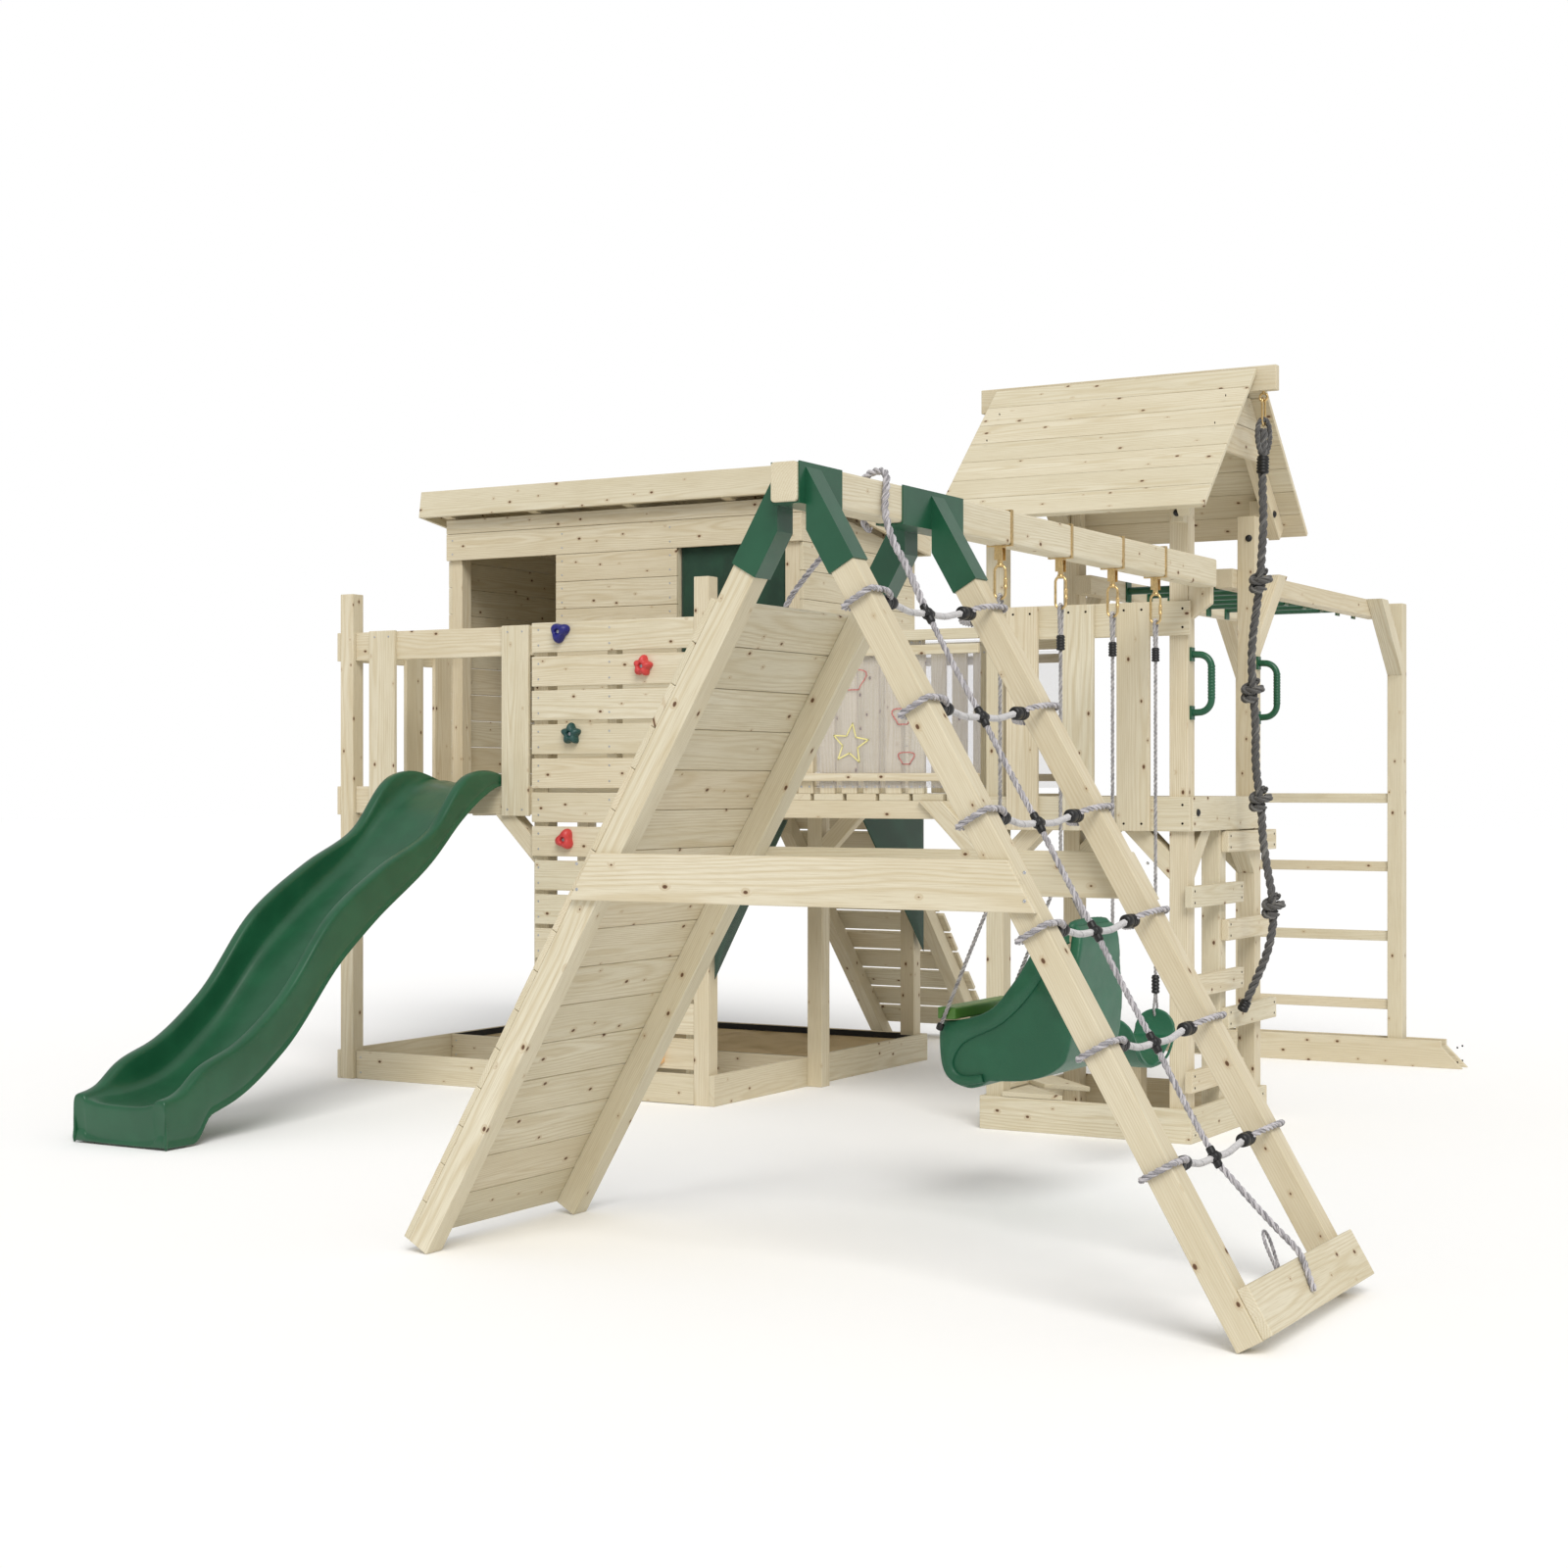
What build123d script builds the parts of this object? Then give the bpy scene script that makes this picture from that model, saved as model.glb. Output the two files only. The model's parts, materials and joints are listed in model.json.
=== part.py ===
from build123d import *
import os
from math import cos, radians, sin, tan

# Timber play set: a playhouse tower with a rock climbing wall and a wave slide, a bridge,
# a lookout tower with a ladder and monkey bars, and a swing beam on an up-and-over climber.
# Millimetres. +Z is up, -Y is the front, and the origin is the centre of the foot of the
# lookout tower's front right-hand post.

os.makedirs("parts", exist_ok=True)

# ---------------------------------------------------------------- driving dimensions
POST = 68.0                  # square posts, legs and small beams
HALF = POST / 2
BOARD = 120.0                # board width
THIN = 18.0                  # board thickness
GAP = 1.5                    # seam between butted boards
CLEAR = 2.0                  # space round a timber that passes through boards

# lookout tower
SPAN = 704.0                 # post centre to post centre, both ways
LOOK_DECK = 1205.0
LOOK_POST_TOP = 2250.0
RAIL_TOP = 1888.0

# playhouse tower: outer faces of its base boards
PLAY_X0, PLAY_X1 = -3773.0, -1891.0
PLAY_Y0, PLAY_Y1 = -47.0, 1800.0
PLAY_SIDE = 24.0             # thickness of the right and back boards
PLAY_DECK = 1240.0
PLAY_POST_TOP = 2056.0
WALL_PITCH = 137.0           # climbing wall planks
WALL_PLANKS = 14
WALL_X0 = -2757.0            # left end of the climbing wall

# cabin on the back half of the playhouse deck
CABIN_X0, CABIN_X1 = -3780.0, -1933.0
CABIN_Y0, CABIN_Y1 = 710.0, 1756.0
DOOR = (-3704.0, -3175.0)
WINDOW = (-2544.0, -2019.0)
BACK_DOOR = (-2650.0, -2090.0)
SEAM = 1300.0                # first seam of the siding
ROOF_Y0, ROOF_Z0 = 650.0, 2456.0      # lower front edge of the fascia
ROOF_RUN = 1160.0
ROOF_X0, ROOF_X1 = -3891.0, -1871.0
FALL = radians(8.7)          # the roof falls to the back

# bridge
BRIDGE_X0, BRIDGE_X1 = PLAY_X1 + 1, -739.0
BRIDGE_DECK = 1213.0

# swing beam and up-and-over climber
BEAM_X = 102.0
BEAM_W, BEAM_H, BEAM_Z = 72.0, 97.0, 1930.0
BEAM_Y0, BEAM_Y1 = -2966.0, -31.0
LEAN = radians(30)           # legs lean this far from upright
FOOT = 1121.0                # inner foot edge from the beam's centre
LEG_LENGTH = 2150.0
LEG_Y = (-2922.0, -2242.0)   # front faces of the two A-frames
CLIMB_Y0, CLIMB_Y1 = LEG_Y[0], LEG_Y[1] + POST
NET_Y = (CLIMB_Y0 + CLIMB_Y1) / 2 - 6
RUNGS = [425.0 + 302.5 * n for n in range(6)]     # distances up the leg
ROPE = 14.0                  # climbing net rope
PULL_ROPE = 16.0             # the ramp's pull rope
STEEL = 4.0

# swings
PIVOT_Z = 1900.0
BABY_Y = (-1728.0, -1296.0)
BELT_Y = (-886.0, -516.0)
CORD = 12.0                  # swing rope

# monkey bars
MONKEY_Y1 = 2655.0           # front face of the end posts
MONKEY_Z0, MONKEY_Z1 = 1981.0, 2053.0


def save(builder, name):
    """Label a finished piece and write it out."""
    builder.part.label = name
    export_step(builder.part, f"parts/{name}.step")


def bar(x, y, z, mode=Mode.ADD):
    """A straight timber that fills three ranges, added to the open part."""
    with Locations(((x[0] + x[1]) / 2, (y[0] + y[1]) / 2, (z[0] + z[1]) / 2)):
        Box(x[1] - x[0], y[1] - y[0], z[1] - z[0], mode=mode)


def prism(plane, points, depth, mode=Mode.ADD):
    """A closed outline on a plane, pushed out by depth along the plane's normal."""
    with BuildSketch(plane) as outline:
        with BuildLine():
            Polyline(*points, close=True)
        make_face()
    extrude(to_extrude=outline.sketch, amount=depth, mode=mode)


def slab_xz(points, y0, y1, mode=Mode.ADD):
    """An outline in X and Z, from y0 to y1."""
    prism(Plane.XZ.offset(-y1), points, y1 - y0, mode)


def slab_yz(points, x0, x1, mode=Mode.ADD):
    """An outline in Y and Z, from x0 to x1."""
    prism(Plane.YZ.offset(x0), points, x1 - x0, mode)


def slab_xy(points, z0, z1, mode=Mode.ADD):
    """An outline in X and Y, from z0 to z1."""
    prism(Plane.XY.offset(z0), points, z1 - z0, mode)


def rod(start, end, diameter, mode=Mode.ADD):
    """A round bar between two points."""
    axis = Vector(*end) - Vector(*start)
    with BuildSketch(Plane(origin=start, z_dir=axis)) as section:
        Circle(diameter / 2)
    extrude(to_extrude=section.sketch, amount=axis.length, mode=mode)


def widest_arcs(points):
    """One radius for each corner of a route, as large as its two runs allow."""
    corners = [Vector(*p) for p in points]
    radii = []
    for before, here, after in zip(corners, corners[1:], corners[2:]):
        turn = radians((here - before).get_angle(after - here))
        shorter = min((here - before).length, (after - here).length)
        radii.append(0.45 * shorter / tan(turn / 2))
    return radii


def tube(points, diameter, radii=None):
    """A rope along straight runs joined by tangent arcs, added to the open part."""
    with BuildLine():
        route = FilletPolyline(*points, radius=radii or widest_arcs(points))
    with BuildSketch(Plane(origin=route @ 0, z_dir=route % 0)) as section:
        Circle(diameter / 2)
    sweep(sections=section.sketch, path=route)
    return route.length


def leg_point(side, along, out):
    """X and Z of a point of a climber leg: along it from its foot, out from its inner face."""
    x = BEAM_X + side * (FOOT - along * sin(LEAN) + out * cos(LEAN))
    return (x, along * cos(LEAN) + out * sin(LEAN))


def leg_box(side, along, out):
    """Four corners of a timber that lies along a climber leg."""
    return [leg_point(side, along[0], out[0]), leg_point(side, along[0], out[1]),
            leg_point(side, along[1], out[1]), leg_point(side, along[1], out[0])]


def roof_point(along, up):
    """Y and Z of a point of the cabin roof: down its slope, and square up from its underside."""
    return (ROOF_Y0 + along * cos(FALL) + up * sin(FALL),
            ROOF_Z0 - along * sin(FALL) + up * cos(FALL))


def knee(corner, reach, drop, width=96.0):
    """A 45 degree brace from a post face at corner, up and across by reach."""
    a, z = corner
    across = drop / abs(drop)
    return [(a, z), (a, z + width), (a + across * (reach - width), z + reach),
            (a + across * reach, z + reach)]


# ---------------------------------------------------------------- playhouse tower
POST_A = (PLAY_X1 - PLAY_SIDE - POST, PLAY_X1 - PLAY_SIDE)      # front right post
POST_L = (PLAY_X0 + THIN, PLAY_X0 + THIN + POST)                # left posts
POST_B = (WALL_X0, WALL_X0 + POST)                              # behind the climbing wall
FRONT_ROW = (PLAY_Y0, PLAY_Y0 + POST)
BEHIND_WALL = (PLAY_Y0 + THIN, PLAY_Y0 + THIN + POST)
BACK_ROW = (PLAY_Y1 - PLAY_SIDE - POST, PLAY_Y1 - PLAY_SIDE)
MID_POST_Y = (690.0, 758.0)
FRAME_Z0 = 1120.0

with BuildPart() as playhouse_posts:
    bar(POST_L, FRONT_ROW, (0, PLAY_POST_TOP))
    bar(POST_A, FRONT_ROW, (0, PLAY_POST_TOP))
    bar(POST_B, BEHIND_WALL, (0, RAIL_TOP))
    bar(POST_L, BACK_ROW, (0, FRAME_Z0 - CLEAR))
    bar(POST_A, BACK_ROW, (0, FRAME_Z0 - CLEAR))
    bar((PLAY_X1, PLAY_X1 + POST), MID_POST_Y, (0, 1121))
save(playhouse_posts, "playhouse_posts")

with BuildPart() as sandpit_boards:
    split = 724.0
    for y in ((PLAY_Y0, split - 1), (split + 1, PLAY_Y1)):
        bar((PLAY_X0, PLAY_X0 + THIN), y, (0, BOARD))
        bar((PLAY_X1 - PLAY_SIDE, PLAY_X1), y, (0, BOARD))
    bar((POST_L[1] + 1, POST_B[0] - 1), (PLAY_Y0 + THIN, PLAY_Y0 + 2 * THIN), (0, BOARD - 2))
    bar((PLAY_X0 + THIN + 1, PLAY_X1 - PLAY_SIDE - 1), (split - 9, split + 9), (0, BOARD - 2))
    bar((PLAY_X0 + THIN + 1, PLAY_X1 - PLAY_SIDE - 1), (PLAY_Y1 - PLAY_SIDE, PLAY_Y1), (0, BOARD))
save(sandpit_boards, "sandpit_boards")

PIT_X = (PLAY_X0 + THIN + 3, PLAY_X1 - PLAY_SIDE - 3)
PIT_Y = (736.0, PLAY_Y1 - PLAY_SIDE - 3)


def pit(x, y, z, inset, mode=Mode.ADD):
    """A box in the sandpit, notched round the two back posts."""
    bar((x[0] + inset, x[1] - inset), (y[0] + inset, y[1] - inset), z, mode)


with BuildPart() as sandpit_liner:
    pit(PIT_X, PIT_Y, (1, 118), 0)
    for post in (POST_L, POST_A):
        bar((post[0] - 8, post[1] + 8), (BACK_ROW[0] - 3, PLAY_Y1), (0, 200), Mode.SUBTRACT)
    offset(amount=-4, openings=sandpit_liner.faces().sort_by(Axis.Z)[-1:])
save(sandpit_liner, "sandpit_liner")

with BuildPart() as sand:
    pit(PIT_X, PIT_Y, (6, 96), 6)
    for post in (POST_L, POST_A):
        bar((post[0] - 16, post[1] + 16), (BACK_ROW[0] - 10, PLAY_Y1), (0, 200), Mode.SUBTRACT)
save(sand, "sand")

DECK_PLANK = 22.0
with BuildPart() as playhouse_deck:
    pitch = BOARD + 4
    top = PLAY_DECK - 1
    count = 14
    for n in range(count):
        y = PLAY_Y0 + THIN + 1 + n * pitch
        bar((PLAY_X0 + THIN + 1, PLAY_X1 - PLAY_SIDE - 1), (y, y + BOARD), (top - DECK_PLANK, top))
    for post, row in ((POST_L, FRONT_ROW), (POST_A, FRONT_ROW), (POST_B, BEHIND_WALL)):
        bar((post[0] - CLEAR, post[1] + CLEAR), (row[0] - CLEAR, row[1] + CLEAR), (1100, 1300),
            Mode.SUBTRACT)
    bar((POST_L[1], POST_B[0]), (PLAY_Y0, PLAY_Y0 + 2 * THIN + 1), (1100, 1300), Mode.SUBTRACT)
save(playhouse_deck, "playhouse_deck")

with BuildPart() as playhouse_deck_frame:
    under = PLAY_DECK - 1 - DECK_PLANK
    bar((POST_L[1] + 1, POST_B[0] - 1), (PLAY_Y0 + THIN, PLAY_Y0 + 2 * THIN), (FRAME_Z0 + 7, PLAY_DECK))
    bar((PLAY_X0, PLAY_X0 + THIN), (PLAY_Y0, PLAY_Y1 - PLAY_SIDE - 1), (FRAME_Z0, PLAY_DECK))
    bar((PLAY_X1 - PLAY_SIDE, PLAY_X1), (PLAY_Y0, PLAY_Y1 - PLAY_SIDE - 1), (FRAME_Z0, PLAY_DECK))
    bar((PLAY_X0, PLAY_X1), (PLAY_Y1 - PLAY_SIDE, PLAY_Y1), (FRAME_Z0, PLAY_DECK))
    for x in (POST_L[1] + 2, -3085.0, -2520.0, POST_A[0] - 47):
        bar((x, x + 45), (PLAY_Y0 + 2 * THIN + 2, BACK_ROW[0] - 2), (FRAME_Z0, under))
save(playhouse_deck_frame, "playhouse_deck_frame")

# ---------------------------------------------------------------- climbing wall
with BuildPart() as rock_wall_planks:
    for n in range(WALL_PLANKS):
        inset = 0 if n > 6 else 15
        top = BOARD + n * WALL_PITCH
        low = max(top - BOARD, 2)
        bar((WALL_X0 + inset, POST_A[0] - 1), (PLAY_Y0, PLAY_Y0 + THIN), (low, top))
save(rock_wall_planks, "rock_wall_planks")

HOLD_R = 46.0


def hold(x, z, lobes, turn):
    """A moulded hand hold on the face of the climbing wall."""
    with BuildSketch(Plane.XZ.offset(-PLAY_Y0)) as shape:
        with Locations((x, z)):
            Circle(HOLD_R * 0.62)
            with PolarLocations(HOLD_R * 0.56, lobes, start_angle=turn):
                Circle(HOLD_R * 0.44)
    extrude(to_extrude=shape.sketch, amount=38)


with BuildPart() as hold_blue:
    hold(-2612, 1861, 3, 20)
save(hold_blue, "hold_blue")
with BuildPart() as holds_red:
    hold(-2212, 1713, 5, 10)
    hold(-2585, 1026, 3, 70)
save(holds_red, "holds_red")
with BuildPart() as hold_teal:
    hold(-2554, 1450, 5, 18)
save(hold_teal, "hold_teal")
with BuildPart() as hold_peach:
    hold(-2148, 189, 4, 40)
save(hold_peach, "hold_peach")

# ---------------------------------------------------------------- railings
BOARD_FACE = (PLAY_Y0, PLAY_Y0 + THIN)
RAIL_FACE = (PLAY_Y0 + THIN, PLAY_Y0 + 2 * THIN)
BRIDGE_SIDES = ((-34.0, 1), (738.0, -1))      # outer face of the slats, and inward direction

with BuildPart() as railing_rails:
    bar((POST_L[1] + 1, POST_B[0] - 1), RAIL_FACE, (1772, 1892))
    bar((PLAY_X0, PLAY_X0 + THIN), (PLAY_Y0, CABIN_Y0 - 3), (1772, 1892))
    for face, inward in BRIDGE_SIDES:
        outer = sorted((face - 4 * inward, face - 22 * inward))
        for z in ((1261, 1290), (1727, 1762), (1780, 1819)):
            bar((BRIDGE_X0 + 2, BRIDGE_X1 - 20), outer, z)
save(railing_rails, "railing_rails")

with BuildPart() as railing_boards:
    bar((-3601, -3464), BOARD_FACE, (FRAME_Z0, RAIL_TOP + 7))
    bar((-2909, -2774), BOARD_FACE, (FRAME_Z0, RAIL_TOP + 7))
    for y in (175, 375, 575):
        bar((PLAY_X0 + THIN, PLAY_X0 + 2 * THIN), (y, y + 117), (PLAY_DECK, 1890))
    for face, inward in BRIDGE_SIDES:
        depth = sorted((face, face + THIN * inward))
        for n in range(9):
            x = -1042 - 93.5 * n
            bar((x - 14, x + 50), depth, (BRIDGE_DECK + 1, 1800))
save(railing_boards, "railing_boards")

with BuildPart() as art_panels:
    for face, inward in BRIDGE_SIDES:
        depth = sorted((face - 0.2 * inward, face - 4 * inward))
        bar((-1440, BRIDGE_X1 - 20), depth, (1235, 1775))
save(art_panels, "art_panels")

# ---------------------------------------------------------------- cabin
def wall_top(y):
    """Height of the underside of the roof above the floor of the site."""
    return ROOF_Z0 - (y - ROOF_Y0) * tan(FALL) - 0.5


SIDING = [(PLAY_DECK + 1, SEAM)] + [(SEAM + n * BOARD, SEAM + (n + 1) * BOARD) for n in range(10)]
HEAD = SEAM + 8 * BOARD
SILL = SEAM + 4 * BOARD

with BuildPart() as cabin_front_wall:
    wall = (CABIN_Y0, CABIN_Y0 + THIN)
    for z0, z1 in SIDING:
        z = (z0, min(z1 - GAP, wall_top(CABIN_Y0 + THIN)))
        if z0 >= HEAD - 1:
            bar((CABIN_X0, CABIN_X1), wall, z)
        elif z0 >= SILL - 1:
            bar((DOOR[1], WINDOW[0]), wall, z)
        else:
            bar((DOOR[1], CABIN_X1), wall, z)
save(cabin_front_wall, "cabin_front_wall")

SIDE_Y = (CABIN_Y0 + THIN + 0.5, CABIN_Y1 - THIN - 0.5)
with BuildPart() as cabin_walls:
    for x0 in (CABIN_X0, CABIN_X1 - THIN):
        for z0, z1 in SIDING:
            corners = [(SIDE_Y[0], z0), (SIDE_Y[1], z0)]
            back_z, front_z = wall_top(SIDE_Y[1]), wall_top(SIDE_Y[0])
            z1 = z1 - GAP
            if z0 >= back_z:
                corners[1] = (SIDE_Y[0] + (front_z - z0) / tan(FALL), z0)
            else:
                corners.append((SIDE_Y[1], min(z1, back_z)))
            if back_z < z1 < front_z:
                corners.append((SIDE_Y[0] + (front_z - z1) / tan(FALL), z1))
            corners.append((SIDE_Y[0], min(z1, front_z)))
            slab_yz(corners, x0, x0 + THIN)
    wall = (CABIN_Y1 - THIN, CABIN_Y1)
    for z0, z1 in SIDING[:9]:
        z = (z0, min(z1 - GAP, wall_top(CABIN_Y1)))
        if z0 >= HEAD - BOARD - 1:
            bar((CABIN_X0, CABIN_X1), wall, z)
        else:
            bar((CABIN_X0, BACK_DOOR[0]), wall, z)
            bar((BACK_DOOR[1], CABIN_X1), wall, z)
save(cabin_walls, "cabin_walls")

INSIDE_X = (CABIN_X0 + THIN, CABIN_X1 - THIN)
with BuildPart() as cabin_frame:
    front = (CABIN_Y0 + THIN, CABIN_Y0 + THIN + POST)
    back = (CABIN_Y1 - THIN - POST, CABIN_Y1 - THIN)
    for x in ((INSIDE_X[0], DOOR[0]), (DOOR[1], DOOR[1] + POST), (WINDOW[0] - POST, WINDOW[0]),
              (WINDOW[1], INSIDE_X[1])):
        bar(x, front, (PLAY_DECK, wall_top(front[1]) - 2))
    for x in ((INSIDE_X[0], INSIDE_X[0] + POST), (BACK_DOOR[0] - POST, BACK_DOOR[0]),
              (BACK_DOOR[1], BACK_DOOR[1] + POST)):
        bar(x, back, (PLAY_DECK, wall_top(back[1]) - 2))
    bar((WINDOW[0] + 1, WINDOW[1] - 1), (front[0], front[0] + 12), (SILL - 21, SILL - GAP))
    for x in (ROOF_X0 + 120, -3300.0, -2800.0, -2300.0, ROOF_X1 - 165):
        slab_yz([roof_point(19, 0), roof_point(ROOF_RUN - 19, 0),
                 roof_point(ROOF_RUN - 19, 98), roof_point(19, 98)], x, x + 45)
    for x in (POST_A[0] - 47.0, -2400.0):
        bar((x, x + 45), (PLAY_Y0 + THIN, PLAY_Y0 + THIN + 45), (PLAY_DECK + 1, RAIL_TOP))
        bar((x, x + 45), (PLAY_Y0 + THIN, PLAY_Y0 + THIN + 45), (0, FRAME_Z0 - 8))
save(cabin_frame, "cabin_frame")

with BuildPart() as cabin_roof_boards:
    across = (ROOF_X0 + THIN + 1, ROOF_X1 - THIN - 1)
    pitch = (ROOF_RUN - 2 * THIN) / 9
    for n in range(9):
        a = THIN + 1 + n * pitch
        b = a + pitch - 2
        slab_yz([roof_point(a, 98), roof_point(b, 98), roof_point(b, 116), roof_point(a, 116)], *across)
save(cabin_roof_boards, "cabin_roof_boards")

with BuildPart() as cabin_fascia:
    for a, b in ((0, THIN), (ROOF_RUN - THIN, ROOF_RUN)):
        slab_yz([roof_point(a, 0), roof_point(b, 0), roof_point(b, BOARD), roof_point(a, BOARD)],
                ROOF_X0, ROOF_X1)
    a, b = THIN + 0.5, ROOF_RUN - THIN - 0.5
    for x in (ROOF_X0, ROOF_X1 - THIN):
        slab_yz([roof_point(a, 0), roof_point(b, 0), roof_point(b, BOARD), roof_point(a, BOARD)],
                x, x + THIN)
save(cabin_fascia, "cabin_fascia")

with BuildPart() as canvas_flaps:
    bar((WINDOW[0] + 2, WINDOW[1] - 2), (CABIN_Y0 + THIN + 14, CABIN_Y0 + THIN + 18), (1740, 2320))
    flap = (PLAY_X1 + 1, PLAY_X1 + 4)
    slab_yz([(PLAY_Y0, 1107), (528, 1107), (PLAY_Y0, 490)], *flap)
    slab_yz([(1155, 1107), (1755, 1107), (1755, 490)], *flap)
save(canvas_flaps, "canvas_flaps")

# ---------------------------------------------------------------- wave slide
SLIDE_X = (-3346.0, -2911.0)
SLIDE_WALL = 26.0
SLIDE_TOP = [(60, 1262), (-20, 1290), (-110, 1306), (-231, 1290), (-482, 1067), (-758, 945), (-1054, 776),
             (-1350, 475), (-1568, 334), (-1762, 262), (-1862, 190), (-1960, 170)]
SLIDE_BED = [(60, 1256), (-60, 1250), (-160, 1225), (-290, 1150), (-482, 985), (-846, 757), (-1020, 635),
             (-1350, 330), (-1600, 182), (-1800, 146), (-1955, 142)]
SLIDE_UNDER = [(60, PLAY_DECK + 1), (-50, PLAY_DECK + 1), (-170, 1190), (-290, 1111), (-482, 949),
               (-846, 721), (-1020, 595), (-1350, 281), (-1600, 135), (-1748, 90)]


def slide_slab(upper, x, width):
    """A slab of the slide between an upper edge and its underside."""
    with BuildSketch(Plane.YZ.offset(x)) as outline:
        with BuildLine():
            Spline(*upper)
            Polyline(upper[-1], (upper[-1][0] - 3, 0), (-1763, 0), SLIDE_UNDER[-1])
            Spline(*SLIDE_UNDER)
            Line(SLIDE_UNDER[0], upper[0])
        make_face()
    extrude(to_extrude=outline.sketch, amount=width)


with BuildPart() as slide:
    slide_slab(SLIDE_BED, SLIDE_X[0], SLIDE_X[1] - SLIDE_X[0])
    for x in (SLIDE_X[0], SLIDE_X[1] - SLIDE_WALL):
        slide_slab(SLIDE_TOP, x, SLIDE_WALL)
    bar((SLIDE_X[0] + 20, SLIDE_X[1] - 20), (-1940, -1770), (-5, 84), Mode.SUBTRACT)
save(slide, "slide")

# ---------------------------------------------------------------- bridge
with BuildPart() as bridge_beams:
    for y in ((-HALF, HALF), (SPAN - HALF, SPAN + HALF)):
        bar((BRIDGE_X0, BRIDGE_X1), y, (1121, 1188))
save(bridge_beams, "bridge_beams")

with BuildPart() as bridge_deck:
    pitch = 139.5
    count = 8
    for n in range(count):
        x = BRIDGE_X0 + 16 + n * pitch
        bar((x, x + 124), (-HALF, SPAN + HALF), (1188, BRIDGE_DECK))
save(bridge_deck, "bridge_deck")

# ---------------------------------------------------------------- lookout tower
LOOK_OUT = HALF + THIN
LOOK_X = (-SPAN, 0.0)
LOOK_Y = (0.0, SPAN)
LADDER_Y = 320.0

with BuildPart() as lookout_posts:
    for x in LOOK_X:
        for y in LOOK_Y:
            bar((x - HALF, x + HALF), (y - HALF, y + HALF), (0, LOOK_POST_TOP))
    bar((-HALF, HALF), (LADDER_Y - HALF, LADDER_Y + HALF), (0, 1163))
save(lookout_posts, "lookout_posts")

with BuildPart() as lookout_base:
    x0, x1 = -SPAN - LOOK_OUT, LOOK_OUT
    y0, y1 = -LOOK_OUT, SPAN + LOOK_OUT
    bar((x0, x1), (y0, y0 + THIN), (0, BOARD))
    bar((x0, x1), (y1 - THIN, y1), (0, BOARD))
    for x in (x0, x1 - THIN):
        bar((x, x + THIN), (y0 + THIN + 1, y1 - THIN - 1), (0, BOARD))
    slab_xy([(-668, -50), (-430, -50), (-668, 190)], BOARD + 1, BOARD + 19)
    slab_xy([(-754, 40), (-672, 40), (-672, 194), (-560, 84), (-380, 84), (-754, 458)],
            BOARD + 21, BOARD + 39)
    bar((-756, -40), (440, 560), (262, 280))
    bar((-756, -40), (564, 660), (262, 280))
    bar((-420, -352), (500, 568), (0, 260))
save(lookout_base, "lookout_base")

with BuildPart() as lookout_deck:
    top = LOOK_DECK
    for n in range(6):
        y = -HALF + n * 129.0
        bar((-SPAN - HALF, HALF), (y, y + 127), (top - 20, top))
    for x in LOOK_X:
        for y in LOOK_Y:
            bar((x - HALF - CLEAR, x + HALF + CLEAR), (y - HALF - CLEAR, y + HALF + CLEAR),
                (1100, 1300), Mode.SUBTRACT)
    for y in (36.0, SPAN - 36.0 - 45):
        bar((-SPAN + HALF + 1, -HALF - 1), (y, y + 45), (1090, top - 22))
    bar((HALF + 1, HALF + THIN), (-HALF + 1, SPAN + HALF), (1085, 1205))
    bar((-SPAN - HALF - THIN, -SPAN - HALF - 1), (44, SPAN - 44), (1085, 1205))
save(lookout_deck, "lookout_deck")

with BuildPart() as lookout_railing:
    rail = (-LOOK_OUT, -HALF)
    bar((-SPAN - LOOK_OUT, HALF + 13), rail, (1085, 1205))
    bar((-SPAN - LOOK_OUT, HALF + 13), rail, (1767, 1887))
    for x in (-642, -427, -217):
        bar((x, x + 122), (-LOOK_OUT - THIN - 1, -LOOK_OUT - 1), (1085, 1885))
    bar((-SPAN + HALF, -HALF), (SPAN + HALF, SPAN + LOOK_OUT), (1085, 1205))
save(lookout_railing, "lookout_railing")

STEP = 28.0
STEP_X = (HALF, HALF + STEP)
with BuildPart() as ladder_steps:
    for z in (1005, 687, 370):
        bar(STEP_X, (LADDER_Y - 17, 837), (z, z + 75))
    for z in (820, 508, 178):
        bar(STEP_X, (-65, 471), (z, z + 75))
save(ladder_steps, "ladder_steps")

HANDLE_Z = (1480.0, 1720.0)
with BuildPart() as grab_handles:
    for y in LOOK_Y:
        for z in (HANDLE_Z[0] + 18, HANDLE_Z[1] - 18):
            bar((HALF, HALF + 7), (y - 17, y + 17), (z - 24, z + 24))
        tube([(HALF + 5, y, HANDLE_Z[0] + 18), (108, y, HANDLE_Z[0] + 22), (108, y, HANDLE_Z[1] - 22),
              (HALF + 5, y, HANDLE_Z[1] - 18)], 24, [46, 46])
save(grab_handles, "grab_handles")

# 45 degree roof: distances down the slope from the line where its outer faces would meet the ridge
RIDGE_Y = 353.0
RIDGE_Z = 2752.0
SLOPE = radians(45)
ROOF_X = (-862.0, 158.0)
ROOF_BOARDS = 7
ROOF_PITCH = 109.0


def gable_point(side, down, under):
    """Y and Z on the lookout roof: down its slope, and square in from its outer face."""
    return (RIDGE_Y + side * (17 + down * cos(SLOPE) - under * sin(SLOPE)),
            RIDGE_Z - down * sin(SLOPE) - under * cos(SLOPE))


with BuildPart() as lookout_roof_boards:
    for side in (-1, 1):
        for n in range(ROOF_BOARDS):
            a = THIN + 1 + n * ROOF_PITCH
            b = a + ROOF_PITCH - GAP
            slab_yz([gable_point(side, a, 0), gable_point(side, b, 0), gable_point(side, b, THIN),
                     gable_point(side, a, THIN)], *ROOF_X)
save(lookout_roof_boards, "lookout_roof_boards")

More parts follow.
